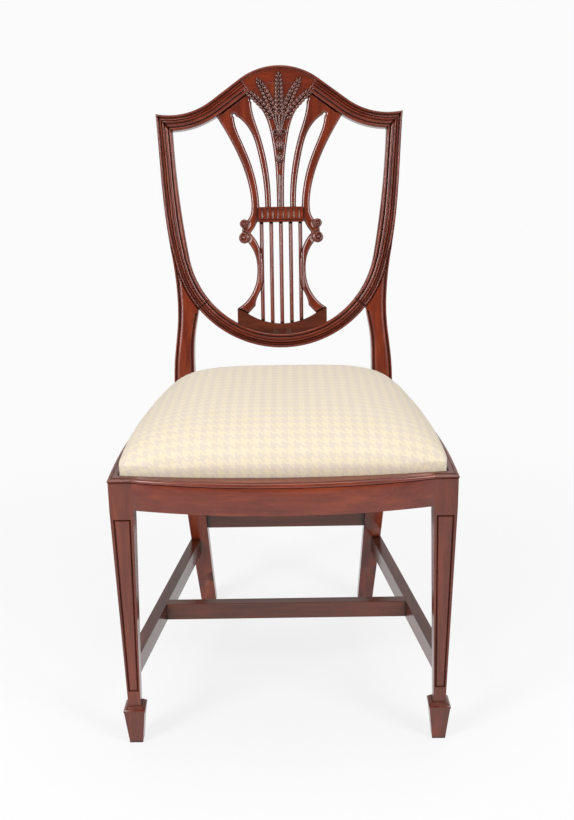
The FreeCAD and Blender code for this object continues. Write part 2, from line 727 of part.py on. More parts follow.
def slip_seat():
    parts = {}
    tacks = cover_tacks()
    front, back, left, right, pins = slip_members()
    parts["slip_frame_front"] = front.cut(tacks)
    parts["slip_frame_back"] = back.cut(tacks)
    parts["slip_frame_left"] = left.cut(tacks)
    parts["slip_frame_right"] = right.cut(tacks)
    parts["slip_frame_dowels"] = pins
    lengthwise, crosswise = webbing()
    parts["webbing_lengthwise"] = lengthwise
    parts["webbing_crosswise"] = crosswise
    parts["hessian"] = seat_board(COVER_THICK + 4, web_high, stuffing_low)
    inside = crowned(COVER_THICK, slip_low)
    parts["hair_stuffing"] = inside.common(box(-BIG, BIG, -BIG, BIG, stuffing_low, BIG))
    turned = seat_plan(25, cover_low, slip_low)
    parts["seat_cover"] = crowned(0, cover_low).cut(inside).cut(turned).cut(tacks)
    parts["bottom_cloth"] = seat_board(8, ledge + REST_GAP, cover_low).cut(tacks)
    parts["cover_tacks"] = tacks
    return parts


# Assembly: every tongue is joined to its own piece and cut out of the piece that receives it

def build():
    front_tenon, side_front_tenon, side_back_tenon, back_tenon = rail_tenons()
    front_leg = front_leg_blank()
    back_leg = back_leg_blank()
    legs = Part.makeCompound([front_leg, mirrored(front_leg), back_leg, mirrored(back_leg)])
    parts = {}

    front_rail = tidy(front_rail_blank().fuse(both(front_tenon)))
    side_rail = tidy(side_rail_blank().fuse([side_front_tenon, side_back_tenon]))
    back_rail = box(-POST_INNER - 4, POST_INNER + 4, BACK_Y, BACK_Y + BACK_RAIL_THICK, rail_low, RAIL_TOP)
    back_rail = tidy(largest(back_rail.cut(legs)).fuse(both(back_tenon)))

    stretcher_body, stretcher_tenon = side_stretcher_shapes()
    side_stretcher = tidy(largest(stretcher_body.cut(legs)).fuse(stretcher_tenon))
    cross_body, cross_tenon = cross_stretcher_shapes()
    side_pair = Part.makeCompound([side_stretcher, mirrored(side_stretcher)])
    cross = tidy(largest(cross_body.cut(side_pair)).fuse(cross_tenon))
    rear_body, rear_tenon = rear_stretcher_shapes()
    rear = tidy(largest(rear_body.cut(legs)).fuse(rear_tenon))

    shield_rail = shield_rail_blank().fuse(both(fork_tenon()))
    back_leg = back_leg.fuse(corner_tenon())
    crest = on_back(crest_blank())
    tongue = splat_tongue()
    splat = splat_blank().cut(crest)
    splat = largest(splat).fuse([tongue, splat_foot_tenon()])
    crest = crest.cut(Part.makeCompound([back_leg, mirrored(back_leg), splat]))
    lunette = lunette_blank()
    strings = []
    for bar, tenon in string_shapes():
        clear = bar.cut(lunette).cut(splat).cut(shield_rail)
        lengths = [solid for solid in clear.Solids if solid.Volume > 20]
        strings += [tidy(solid.fuse(tenon.common(tenon_reach(solid)))) for solid in lengths]
    strings = Part.makeCompound(strings)
    dowels = lunette_dowels()
    lunette = lunette.cut(splat).cut(strings).cut(dowels)
    shield_rail = shield_rail.cut(dowels)
    splat = splat.cut(strings)

    front_leg = front_leg.cut(Part.makeCompound([front_rail, side_rail, stretcher_tenon]))
    back_leg = back_leg.cut(Part.makeCompound([side_rail, back_rail, shield_rail, stretcher_tenon, rear]))
    side_stretcher = side_stretcher.cut(cross_tenon)
    shield_rail_solid = tidy(shield_rail)

    screws = block_screws()
    all_screws = Part.makeCompound(screws + [mirrored(item) for item in screws])
    rails = Part.makeCompound([front_rail, side_rail, mirrored(side_rail), back_rail])
    bearer = box(-POST_INNER + 52, POST_INNER - 52, BACK_Y - 14, BACK_Y, ledge - 22, ledge)
    front_block, back_block = block_outlines()
    front_block = block_piece(front_block, rails, legs, V(200, 45, 0)).cut(all_screws)
    back_block = block_piece(back_block, rails, legs, V(165, 425, 0)).cut(all_screws)
    bearer_screws = Part.makeCompound([screw(V(x, BACK_Y - 14, ledge - 11), V(0, 1, 0), 28)
                                       for x in (-80, 0, 80)])

    parts["front_seat_rail"] = front_rail.cut(all_screws)
    side_rail = side_rail.cut(all_screws)
    parts["back_seat_rail"] = back_rail.cut(all_screws).cut(bearer_screws)
    parts["back_seat_bearer"] = bearer.cut(bearer_screws)
    parts["bearer_screws"] = bearer_screws
    parts["corner_block_screws"] = all_screws
    for name, shape in (("front_leg", front_leg), ("back_leg", back_leg), ("side_seat_rail", side_rail),
                        ("side_stretcher", side_stretcher), ("front_corner_block", front_block),
                        ("back_corner_block", back_block)):
        parts[name + "_right"] = tidy(shape)
        parts[name + "_left"] = mirrored(tidy(shape))
    parts["cross_stretcher"] = cross
    parts["rear_stretcher"] = rear
    parts["crest_rail"] = tidy(crest)
    parts["lower_shield_rail"] = shield_rail_solid
    parts["pierced_splat"] = tidy(splat)
    parts["fluted_tablet"] = tablet()
    parts["lyre_strings"] = strings
    parts["lunette"] = tidy(lunette)
    parts["lunette_dowels"] = dowels
    parts.update(slip_seat())
    return parts


def tenon_reach(solid):
    # The stretch of a string's tenon that belongs to this length of it
    box_of = solid.BoundBox
    return box(box_of.XMin - 1, box_of.XMax + 1, -BIG, BIG, box_of.ZMin - 7, box_of.ZMax + 7)


def block_piece(outline, rails, legs, inside):
    # What is left of a block's outline between the rails and the leg
    left = outline.cut(rails).cut(legs)
    target = V(inside.x, inside.y, (BLOCK_LOW + BLOCK_HIGH) / 2)
    return min(left.Solids, key=lambda solid: solid.CenterOfMass.distanceToPoint(target))


def write(parts):
    os.makedirs("parts", exist_ok=True)
    front_y = -FRONT_BOW - BEAD_PROUD
    back_y = BACK_Y + APEX_S * math.sin(rake) + SHIELD_THICK * math.cos(rake)
    middle = V(0, -(front_y + back_y) / 2, 0)
    for name in sorted(parts):
        shape = parts[name].copy()
        shape.translate(middle)
        solids = shape.Solids
        volume = sum(solid.Volume for solid in solids)
        state = "valid" if shape.isValid() else "INVALID"
        print(name, len(solids), "solids", round(volume / 1000, 1), "cm3", state)
        Part.makeCompound(solids).exportStep("parts/" + name + ".step")
    print("depth", round(back_y - front_y, 2), "origin moved by", round(middle.y, 3))


write(build())
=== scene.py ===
# %% [markdown]
# # A shield back dining chair
# The chair is mahogany: a moulded shield with a pierced lyre splat, tapered legs on spade feet,
# and a stuffed seat that drops into the rails. The real shapes and sizes come packed as a fixed
# frame. This lesson dresses that frame: it cuts the mouldings, rounds and carves the splat,
# stuffs the seat, and gives every surface a finish.

# %% Load the frame
import bpy
import json
import math
import random
from mathutils import Matrix, Vector

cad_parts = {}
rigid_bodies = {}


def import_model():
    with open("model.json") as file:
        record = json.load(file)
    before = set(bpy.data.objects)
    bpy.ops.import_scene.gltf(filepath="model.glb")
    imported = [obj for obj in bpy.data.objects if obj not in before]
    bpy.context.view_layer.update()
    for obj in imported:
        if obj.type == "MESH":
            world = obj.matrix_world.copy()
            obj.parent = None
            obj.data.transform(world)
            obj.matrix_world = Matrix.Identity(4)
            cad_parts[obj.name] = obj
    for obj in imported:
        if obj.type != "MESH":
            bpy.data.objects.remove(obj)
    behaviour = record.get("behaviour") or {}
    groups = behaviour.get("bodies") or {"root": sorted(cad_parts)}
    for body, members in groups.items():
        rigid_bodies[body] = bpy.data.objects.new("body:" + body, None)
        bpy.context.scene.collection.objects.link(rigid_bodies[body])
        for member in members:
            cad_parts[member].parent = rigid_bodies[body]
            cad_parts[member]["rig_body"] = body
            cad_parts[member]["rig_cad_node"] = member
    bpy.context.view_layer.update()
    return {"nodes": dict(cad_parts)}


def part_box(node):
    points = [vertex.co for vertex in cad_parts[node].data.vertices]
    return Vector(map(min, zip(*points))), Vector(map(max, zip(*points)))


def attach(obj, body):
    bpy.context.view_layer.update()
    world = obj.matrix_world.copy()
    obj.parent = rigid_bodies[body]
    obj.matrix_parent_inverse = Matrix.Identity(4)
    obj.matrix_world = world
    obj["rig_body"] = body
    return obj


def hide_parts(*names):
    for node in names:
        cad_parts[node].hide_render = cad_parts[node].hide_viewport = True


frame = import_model()
nodes = frame["nodes"]
bpy.ops.object.select_all(action="DESELECT")
random.seed(7)

# %% [markdown]
# The chair was drawn with the front of its front legs at Y = 0, then centred. The cross
# stretcher's front face was drawn at 190.5 mm, so its place in the frame says how far everything
# moved. The back leans 11 degrees. It is easiest to think of it as a flat drawing: x across,
# s up the slope from the top of the seat rails, and n out of the front.

# %% Sizes the pieces share
MM = 0.001
FRONT_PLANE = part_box("cross_stretcher")[0].y - 190.5 * MM
RAIL_TOP = 0.434
BACK_Y = 0.448 + FRONT_PLANE
RAKE = math.radians(11)
BACK_MATRIX = Matrix.Translation((0, BACK_Y, RAIL_TOP)) @ Matrix.Rotation(math.radians(90) - RAKE, 4, "X")


def on_back(x, s, n=0.0):
    return BACK_MATRIX @ Vector((x * MM, s * MM, n * MM))


print("shield apex at", [round(v, 3) for v in on_back(0, 572)])

# %% [markdown]
# ## Camera
# The photograph was taken from the front, standing close and a little above the seat, with the
# camera tipped down 17 degrees. A camera looks along its own minus Z, so its matrix is made from
# the view direction, the direction to its right and the one above it.

# %% Camera
CAMERA_PLACE = Vector((0.010987, -1.450206 + FRONT_PLANE, 0.975991))
YAW, TIP, ROLL = -0.00268, 0.29657, -0.01581
ahead = Vector((math.sin(YAW) * math.cos(TIP), math.cos(YAW) * math.cos(TIP), -math.sin(TIP)))
level = Vector((math.cos(YAW), -math.sin(YAW), 0))
over = level.cross(ahead)
right = level * math.cos(ROLL) + over * math.sin(ROLL)
up = over * math.cos(ROLL) - level * math.sin(ROLL)
bpy.ops.object.camera_add(location=CAMERA_PLACE)
camera = bpy.context.object
camera.name = "camera"
camera.rotation_mode = "QUATERNION"
camera.rotation_quaternion = Matrix((right, up, -ahead)).transposed().to_quaternion()
camera.data.lens = 47.953
camera.data.sensor_width = 36
camera.data.clip_end = 50
bpy.context.scene.camera = camera
print("camera at", [round(v, 3) for v in camera.location])

# %% [markdown]
# ## Finishes
# A finish is a small tree of nodes. One function adds a node, sets it up and joins what is
# given to its inputs. Colours are written as on a paint card and turned to linear light once.

# %% Node and colour helpers


def linear(hex_colour, alpha=1.0):
    channels = [int(hex_colour[i:i + 2], 16) / 255 for i in (1, 3, 5)]
    return [c / 12.92 if c <= 0.04045 else ((c + 0.055) / 1.055) ** 2.4 for c in channels] + [alpha]


def add(tree, kind, settings=None, inputs=None):
    node = tree.nodes.new("ShaderNode" + kind)
    for name, value in (settings or {}).items():
        setattr(node, name, value)
    for name, value in (inputs or {}).items():
        socket = node.inputs[name]
        if isinstance(value, bpy.types.NodeSocket):
            tree.links.new(value, socket)
        else:
            socket.default_value = value
    return node


def new_finish(name):
    finish = bpy.data.materials.new(name)
    finish.use_nodes = True
    tree = finish.node_tree
    for node in list(tree.nodes):
        if node.type != "OUTPUT_MATERIAL":
            tree.nodes.remove(node)
    return finish, tree, next(node for node in tree.nodes if node.type == "OUTPUT_MATERIAL")


def set_ramp(node, stops):
    ramp = node.color_ramp
    while len(ramp.elements) < len(stops):
        ramp.elements.new(0.5)
    for element, (place, colour) in zip(ramp.elements, stops):
        element.position = place
        element.color = linear(colour)
    return node.outputs["Color"]


print("helpers ready")

# %% [markdown]
# Mahogany is a red-brown hardwood with long, fine pores and a soft ribbon figure that shimmers
# along the board. French polish leaves it glossy, and old polish and wax gather in its hollows.
# The figure and pores are noise stretched along the grain: pores are about 0.3 mm wide on the real
# wood, drawn here near 1 mm so that they show. Ambient Occlusion finds the hollows and darkens them:
# partly the old polish, partly painted shade. Each direction of grain is its own finish, because each board was cut its
# own way.

# %% Mahogany


def mahogany(name, turn, seed, light="#8f3b14", middle="#6c240b", dark="#471305", depth=0.92, coat=0.35):
    finish, tree, output = new_finish(name)
    place = add(tree, "TexCoord").outputs["Object"]
    board = add(tree, "Mapping", inputs={"Vector": place, "Rotation": turn, "Location": (seed, seed * 2, seed * 3)})
    board = board.outputs["Vector"]
    long_grain = add(tree, "Mapping", inputs={"Vector": board, "Scale": (1, 1, 0.07)}).outputs["Vector"]
    sway = add(tree, "TexNoise", inputs={"Vector": board, "Scale": 9.0, "Detail": 2.0}).outputs["Color"]
    swayed = add(tree, "VectorMath", {"operation": "MULTIPLY_ADD"}, {0: sway, 1: (0.012, 0.012, 0), 2: long_grain})
    figure = add(tree, "TexNoise", inputs={"Vector": swayed.outputs[0], "Scale": 95.0, "Detail": 4.0,
                                           "Roughness": 0.55})
    pores = add(tree, "TexNoise", inputs={"Vector": long_grain, "Scale": 900.0, "Detail": 2.0})
    ribbon = add(tree, "TexNoise", inputs={"Vector": long_grain, "Scale": 11.0, "Detail": 1.0})
    both = add(tree, "Math", {"operation": "MULTIPLY_ADD"},
               {0: ribbon.outputs["Fac"], 1: 0.5, 2: figure.outputs["Fac"]})
    shade = add(tree, "MapRange", inputs={"Value": both.outputs[0], "From Min": 0.35, "From Max": 1.15})
    wood = set_ramp(add(tree, "ValToRGB", inputs={"Fac": shade.outputs[0]}),
                    [(0.0, dark), (0.5, middle), (1.0, light)])
    pore_dark = add(tree, "MapRange", inputs={"Value": pores.outputs["Fac"], "From Min": 0.3, "From Max": 0.47,
                                              "To Min": 0.55, "To Max": 1.0})
    pored = add(tree, "Mix", {"data_type": "RGBA", "blend_type": "MULTIPLY"},
                {"Factor": 0.5, 6: wood, 7: pore_dark.outputs[0]})
    # Ambient Occlusion darkens the colour in hollows and where parts meet: old polish there, and painted shade as well.
    hollow = add(tree, "AmbientOcclusion", {"samples": 8, "only_local": False}, {"Distance": 0.007})
    polish_and_painted_shade = add(tree, "MapRange", inputs={"Value": hollow.outputs["AO"], "From Min": depth - 0.57,
                                               "From Max": depth})
    colour = add(tree, "Mix", {"data_type": "RGBA"},
                 {"Factor": polish_and_painted_shade.outputs[0], 6: linear("#1c0704"), 7: pored.outputs[2]})
    rough = add(tree, "MapRange", inputs={"Value": ribbon.outputs["Fac"], "To Min": 0.2, "To Max": 0.34})
    bump = add(tree, "Bump", inputs={"Height": pores.outputs["Fac"], "Strength": 0.004, "Distance": 0.0004})
    shader = add(tree, "BsdfPrincipled",
                 inputs={"Base Color": colour.outputs[2], "Roughness": rough.outputs[0], "Normal": bump.outputs[0],
                         "Coat Weight": coat, "Coat Roughness": 0.1, "IOR": 1.5})
    tree.links.new(shader.outputs[0], output.inputs["Surface"])
    return finish


UPRIGHT = (0, 0, 0)
ACROSS = (0, math.radians(90), 0)
FRONT_TO_BACK = (math.radians(90), 0, 0)
upright_wood = mahogany("mahogany upright grain", UPRIGHT, 0.31)
across_wood = mahogany("mahogany cross grain", ACROSS, 1.7)
depth_wood = mahogany("mahogany side grain", FRONT_TO_BACK, 2.9)
back_wood = mahogany("mahogany back grain", (RAKE, 0, 0), 4.3, light="#984115", middle="#6c240b", coat=0.8)
carved_wood = mahogany("mahogany carved", (RAKE, 0, 0), 5.9, light="#7a3517", middle="#5a210d", depth=0.75, coat=1.0)
# Darker tones of the same mahogany for the lunette and the stretchers, which sit in shade under the seat and the
# shield: painted shade.
PAINTED_SHADE_TONES = dict(light="#74331a", middle="#542311", dark="#36120a")
painted_shade_wood = mahogany("mahogany with painted shade cross grain", ACROSS, 7.1, **PAINTED_SHADE_TONES)
painted_shade_side_wood = mahogany("mahogany with painted shade side grain", FRONT_TO_BACK, 8.3, **PAINTED_SHADE_TONES)
leg_wood = mahogany("mahogany leg grain", UPRIGHT, 6.4, light="#80361a", middle="#602411", dark="#401206")
print("eight cuts of mahogany")

# %% Give the frame its wood
HIDDEN = ("block", "bearer", "screw", "slip_frame", "webbing", "hessian", "hair", "cover", "cloth")


def paint(piece, finish):
    piece.data.materials.clear()
    piece.data.materials.append(finish)


for name, piece in nodes.items():
    if any(word in name for word in HIDDEN):
        continue
    if "leg" in name:
        paint(piece, upright_wood)
    # The stretchers and the lunette get the darker mahogany: painted shade.
    elif "side_stretcher" in name:
        paint(piece, painted_shade_side_wood)
    elif "side" in name:
        paint(piece, depth_wood)
    elif name in ("lunette", "cross_stretcher", "rear_stretcher"):
        paint(piece, painted_shade_wood)
    elif name in ("crest_rail", "lower_shield_rail", "fluted_tablet") or "rail" in name or "stretcher" in name:
        paint(piece, across_wood)
    else:
        paint(piece, back_wood)

# %% [markdown]
# ## The moulded shield
# On the real chair a moulding plane and a scratch stock cut the shield's face: a bead on the outer
# edge, a hollow, a ridge, a second hollow, and a bead on the inner edge. The same can be done
# here: a cutter with the moulding's section, swept along the shield, is taken out of a copy of each
# board. The stiles grow a little wider downwards, which a curve's bevel can't follow, so the
# cutter is swept ring by ring between an outer and an inner point. The crest's two mouldings on
# the inside stop where the carved panel begins, and the ground of the panel is sunk level with
# the splat.

# %% Copies of the frame's boards


def activate(piece):
    bpy.ops.object.select_all(action="DESELECT")
    piece.select_set(True)
    bpy.context.view_layer.objects.active = piece


def board_from(node_name, name, flat=0.4):
    activate(nodes[node_name])
    bpy.ops.object.duplicate()
    piece = bpy.context.object
    bpy.ops.object.parent_clear(type="CLEAR")
    piece.name = name
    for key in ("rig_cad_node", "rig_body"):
        del piece[key]
    bpy.ops.object.mode_set(mode="EDIT")
    bpy.ops.mesh.select_all(action="SELECT")
    bpy.ops.mesh.remove_doubles(threshold=0.000004)
    bpy.ops.mesh.dissolve_limited(angle_limit=math.radians(flat))
    bpy.ops.object.mode_set(mode="OBJECT")
    return piece


def place_on(piece, node_name, body="frame"):
    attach(piece, body)
    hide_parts(node_name)
    return piece


print("board helper ready")

# %% The moulding's section
# Across the moulding from its outer edge, in mm of a 27.5 mm width, and down from the board's face
MOULDING = [(-1.6, 3), (-1.6, -1.2), (-0.5, -3.0), (0.3, -2.8), (0.8, -1.4), (1.6, -0.75), (2.6, -0.55), (3.5, -0.8),
            (4.2, -1.7), (4.6, -3.8), (5.8, -3.9), (6.2, -3.1), (7.6, -2.8), (8.8, -2.0), (9.5, -1.1), (9.7, -2.6),
            (10.4, -2.7), (10.7, -0.5), (11.6, -0.1), (13.0, -0.1), (13.8, -0.4), (14.1, -2.5), (15.0, -2.6),
            (15.3, -1.5), (16.4, -1.7), (18.0, -2.2), (19.8, -2.5), (20.5, -4.2), (21.8, -4.2), (22.1, -2.2),
            (22.8, -1.2), (24.0, -0.75), (25.3, -0.9), (26.4, -1.7), (27.5, -3.2), (29.5, -3.8), (29.5, 3)]
SUNK = [(share, height if share < 5.5 or height > 0 else -5.0) for share, height in MOULDING]
SECTION_WIDTH = 27.5


def swept_cutter(name, stations, section, sunk_half=0.0):
    # One ring of the section between each outer and inner point, joined into a closed bar.
    # Where the inner point is nearer the middle than sunk_half, only the outer bead is left.
    points, faces = [], []
    count = len(section)
    for (outer, inner) in stations:
        across = Vector(inner) - Vector(outer)
        for share, height in SUNK if abs(inner[0]) < sunk_half else section:
            x, s = Vector(outer) + across * (share / SECTION_WIDTH)
            points.append(on_back(x, s, height))
    for ring in range(len(stations) - 1):
        for i in range(count):
            a, b = ring * count + i, ring * count + (i + 1) % count
            faces.append((a, b, b + count, a + count))
    faces.append(tuple(range(count)))
    faces.append(tuple(range(len(points) - 1, len(points) - 1 - count, -1)))
    mesh = bpy.data.meshes.new(name)
    mesh.from_pydata(points, [], faces)
    cutter = bpy.data.objects.new(name, mesh)
    bpy.context.scene.collection.objects.link(cutter)
    activate(cutter)
    bpy.ops.object.mode_set(mode="EDIT")
    bpy.ops.mesh.select_all(action="SELECT")
    bpy.ops.mesh.normals_make_consistent(inside=False)
    bpy.ops.object.mode_set(mode="OBJECT")
    return cutter


def cut(piece, cutter):
    activate(piece)
    tool = piece.modifiers.new("cut", "BOOLEAN")
    tool.operation = "DIFFERENCE"
    tool.solver = "EXACT"
    tool.object = cutter
    bpy.ops.object.modifier_apply(modifier="cut")
    bpy.data.objects.remove(cutter)


def soften(piece, width, angle=40, segments=2):
    # Worn, slightly round arrises, and smooth shading over the curves
    activate(piece)
    edge = piece.modifiers.new("worn edges", "BEVEL")
    edge.width = width * MM
    edge.segments = segments
    edge.limit_method = "ANGLE"
    edge.angle_limit = math.radians(angle)
    edge.harden_normals = False
    bpy.ops.object.modifier_apply(modifier="worn edges")
    bpy.ops.object.shade_smooth_by_angle(angle=math.radians(32))


def smooth(piece, degrees=34):
    activate(piece)
    bpy.ops.object.shade_smooth_by_angle(angle=math.radians(degrees))
    even = piece.modifiers.new("even shading", "WEIGHTED_NORMAL")
    even.keep_sharp = True
    bpy.ops.object.modifier_apply(modifier="even shading")


def even_sides(piece, reach=0.014):
    # The frame's triangles run from arris to arris over the curved sides, so the shade of each side
    # is taken from the mean slope of its faces near the same height
    mesh = piece.data
    sides = {"right": Vector((1, 0, 0)), "left": Vector((-1, 0, 0)), "back": Vector((0, 1, 0))}
    shown = [corner.vector.copy() for corner in mesh.corner_normals]
    for outwards in sides.values():
        faces = [face for face in mesh.polygons if face.normal.dot(outwards) > 0.75]
        means = {}
        for level in range(0, 101):
            height = level * 0.01
            mean = Vector()
            for face in faces:
                low = min(mesh.vertices[v].co.z for v in face.vertices)
                high = max(mesh.vertices[v].co.z for v in face.vertices)
                gap = max(low - height, height - high, 0)
                if gap < 3 * reach:
                    mean += face.normal * face.area / (high - low + reach) * math.exp(-(gap / reach) ** 2)
            means[level] = mean.normalized() if mean.length else None
        for face in faces:
            for corner in face.loop_indices:
                place = mesh.vertices[mesh.loops[corner].vertex_index].co.z * 100
                level = min(int(place), 99)
                low, high = means[level], means[level + 1]
                if low and high:
                    slope = low.lerp(high, place - level).normalized()
                    if slope.dot(face.normal) > math.cos(math.radians(14)):
                        shown[corner] = slope
    mesh.normals_split_custom_set(shown)


# %% Lines of the shield
DOME, SHOULDER, HOLLOW = 118.0, math.radians(36), 125.0
RING_CENTRE, RING_OUTER, RING_INNER, FORK = 269.5, 193.0, 168.2, 50.8


def crest_line(inset, steps=30):
    # The crest's upper edge from the middle to past the corner, drawn in by inset
    low = 572 - DOME
    end_x, shoulder_x = DOME * math.sin(SHOULDER), 120.0
    shoulder_s = low + DOME * math.cos(SHOULDER) - (shoulder_x - end_x) * math.tan(SHOULDER)
    centre = (shoulder_x + HOLLOW * math.sin(SHOULDER), shoulder_s + HOLLOW * math.cos(SHOULDER))
    line = [((DOME - inset) * math.sin(SHOULDER * i / steps), low + (DOME - inset) * math.cos(SHOULDER * i / steps))
            for i in range(steps + 1)]
    radius = HOLLOW + inset
    for i in range(steps + 1):
        angle = SHOULDER - (SHOULDER + math.radians(26)) * i / steps
        line.append((centre[0] - radius * math.sin(angle), centre[1] - radius * math.cos(angle)))
    return line


def ring_point(radius, degrees):
    return (radius * math.sin(math.radians(degrees)), RING_CENTRE - radius * math.cos(math.radians(degrees)))


def mirrored(stations):
    return [((-ax, ay), (-bx, by)) for (ax, ay), (bx, by) in stations]


PANEL_HALF = 53.0
half_crest = list(zip(crest_line(0, 40), crest_line(SECTION_WIDTH, 40)))
crest_stations = mirrored(half_crest[:0:-1]) + half_crest
ring_stations = [(ring_point(RING_OUTER, a), ring_point(RING_INNER, a)) for a in range(-54, 55, 2)]
print("crest", len(crest_stations), "stations, ring", len(ring_stations))

# %% The stiles' lines
# The outer line leaves the post's edge near s = 300 and follows the ring down to the fork
STILE_OUTER = [(219.6, 505), (218.0, 491), (216.0, 462), (213.5, 425), (210.5, 375), (206.3, 322), (201.5, 285),
               (197.0, 262), (192.6, 243), (190.2, 233)]
STILE_INNER = [(191.0, 477), (189.6, 463), (188.0, 436), (185.4, 400), (181.9, 353), (176.9, 305), (172.2, 274),
               (169.6, 259), (166.8, 243), (165.4, 234)]


def stile_stations():
    fine = []
    for (a, b), (c, d) in zip(zip(STILE_OUTER, STILE_INNER), zip(STILE_OUTER[1:], STILE_INNER[1:])):
        for i in range(3):
            t = i / 3
            fine.append(((a[0] + (c[0] - a[0]) * t, a[1] + (c[1] - a[1]) * t),
                         (b[0] + (d[0] - b[0]) * t, b[1] + (d[1] - b[1]) * t)))
    fine += [(ring_point(RING_OUTER, a), ring_point(RING_INNER, a)) for a in range(76, 46, -2)]
    return fine


print("stile", len(stile_stations()), "stations")

# %% Cut the crest, the stiles and the lower rail
crest = board_from("crest_rail", "moulded_crest")
cut(crest, swept_cutter("crest moulding", crest_stations, MOULDING, PANEL_HALF))
place_on(crest, "crest_rail")
lower_rail = board_from("lower_shield_rail", "moulded_lower_rail")
cut(lower_rail, swept_cutter("ring", ring_stations, MOULDING))
place_on(lower_rail, "lower_shield_rail")
legs = {}
POST_OUTER = [(206.3, 322), (201.5, 285), (196.5, 247), (192.5, 225), (189.2, 200), (187.5, 175), (186.6, 155),
              (187, 135), (188.3, 115), (190.5, 95), (193, 75), (195, 55), (196.3, 30), (196.5, 10), (195.5, -8)]
POST_INNER = [(150.5, 140), (152.5, 132), (157, 108), (159.3, 90), (160, 70), (160, 40), (160, 10), (159.6, -8)]
EDGE_GROOVE = [(-1, 3), (-1, -1.6), (0.3, -1.2), (1.6, -0.7), (2.6, -1.4), (3.2, -3.2), (4.4, -3.2), (5.2, -1.2),
               (7.0, -0.5), (9.5, -0.1), (10, 3)]
for side, sign in (("right", 1), ("left", -1)):
    leg = board_from("back_leg_" + side, "moulded_back_leg_" + side, flat=0.03)
    runs = [("stile", stile_stations(), MOULDING),
            ("outer groove", [(p, (p[0] - SECTION_WIDTH, p[1])) for p in POST_OUTER[2:]], EDGE_GROOVE),
            ("inner groove", [(p, (p[0] + SECTION_WIDTH, p[1])) for p in POST_INNER], EDGE_GROOVE)]
    for label, run, section in runs:
        cut(leg, swept_cutter(label, run if sign > 0 else mirrored(run), section))
    legs[side] = place_on(leg, "back_leg_" + side)
for piece, finish in ((crest, across_wood), (lower_rail, across_wood), (legs["left"], upright_wood),
                      (legs["right"], upright_wood)):
    smooth(piece)
    if piece in legs.values():
        even_sides(piece)
    paint(piece, finish)
    print(piece.name, len(piece.data.polygons), "faces")

# %% [markdown]
# ## The splat
# The splat is one board, sawn out with its pierced pattern and then rounded over by hand, so
# each rib is fullest along its middle. Insetting such thin ribs would fold their faces over one
# another. So a copy is remeshed to an even skin of small faces, and each point of the front is
# lowered by how near it is to the sawn outline, as a quarter round would. The outline next
# to the crest isn't counted, because there the head runs on into the crest.

# %% Round the splat's face
from mathutils.kdtree import KDTree

FACING = (BACK_MATRIX.to_3x3() @ Vector((0, 0, 1))).normalized()
TO_DRAWING = BACK_MATRIX.inverted()
SKIN = 0.9
ROUND_ACROSS, ROUND_UP, ROUND_DEPTH = 5.0, 3.8, 6.5


def drawing_point(point):
    place = TO_DRAWING @ point
    return place.x / MM, place.y / MM, place.z / MM


def under_crest(x, s, reach=2.0):
    return any(abs(abs(x) - a) < reach and s > b - reach for a, b in crest_line(SECTION_WIDTH, 60))


def sawn_outline(piece):
    # Points each half millimetre along the edges where a front face ends
    front_edges = {}
    for face in piece.data.polygons:
        if face.normal.dot(FACING) > 0.99:
            for key in face.edge_keys:
                front_edges[key] = front_edges.get(key, 0) + 1
    points = []
    for (a, b), uses in front_edges.items():
        start, end = [Vector(drawing_point(piece.data.vertices[i].co)) for i in (a, b)]
        if uses == 1:
            steps = max(1, int((end - start).length / 0.5))
            points += [start.lerp(end, i / steps) for i in range(steps + 1)]
    return [p for p in points if not (abs(p.x) < 122 and under_crest(p.x, p.y))]


def round_over(piece, fronts):
    outline = sawn_outline(piece)
    near = KDTree(len(outline))
    for i, point in enumerate(outline):
        near.insert((point.x, point.y, 0), i)
    near.balance()
    activate(piece)
    skin = piece.modifiers.new("even skin", "REMESH")
    skin.mode = "VOXEL"
    skin.voxel_size = SKIN * MM
    bpy.ops.object.modifier_apply(modifier="even skin")
    for vertex in piece.data.vertices:
        x, s, n = drawing_point(vertex.co)
        front = fronts(x, s)
        floor_level = front - ROUND_DEPTH
        if n > floor_level:
            away = min(near.find((x, s, 0))[2] / ROUND_ACROSS, 1)
            drop = ROUND_UP * (1 - math.sqrt(1 - (1 - away) ** 2))
            share = (n - floor_level) / ROUND_DEPTH
            vertex.co = on_back(x, s, floor_level + share * (ROUND_DEPTH - drop))
    even = piece.modifiers.new("rubbed smooth", "SMOOTH")
    even.factor = 0.5
    even.iterations = 2
    bpy.ops.object.modifier_apply(modifier="rubbed smooth")
    thin = piece.modifiers.new("fewer faces", "DECIMATE")
    thin.ratio = 0.55
    bpy.ops.object.modifier_apply(modifier="fewer faces")
    bpy.ops.object.shade_smooth()


DISCS = [(65.5, 298.0, 8.0), (65.5, 273.0, 10.0)]


def splat_front(x, s):
    on_disc = any(math.hypot(abs(x) - a, s - b) < r + 0.3 for a, b, r in DISCS)
    return -3.5 if on_disc else -5.0


splat = board_from("pierced_splat", "rounded_splat")
round_over(splat, splat_front)
place_on(splat, "pierced_splat")
paint(splat, back_wood)
print("splat", len(splat.data.polygons), "faces")

# %% [markdown]
# The lyre's strings are thin square bars with a half-round face. The same even skin rounds them.

# %% Round the strings
strings = board_from("lyre_strings", "rounded_strings")
round_over(strings, lambda x, s: -7.0)
place_on(strings, "lyre_strings")
paint(strings, back_wood)
print("strings", len(strings.data.polygons), "faces")

# %% [markdown]
# The scrolls end in carved volutes: a bead that winds inwards to a round eye. Each bead is a
# spiral path with a round section, made a mesh, and pressed half into the face of its disc.

# %% Volutes


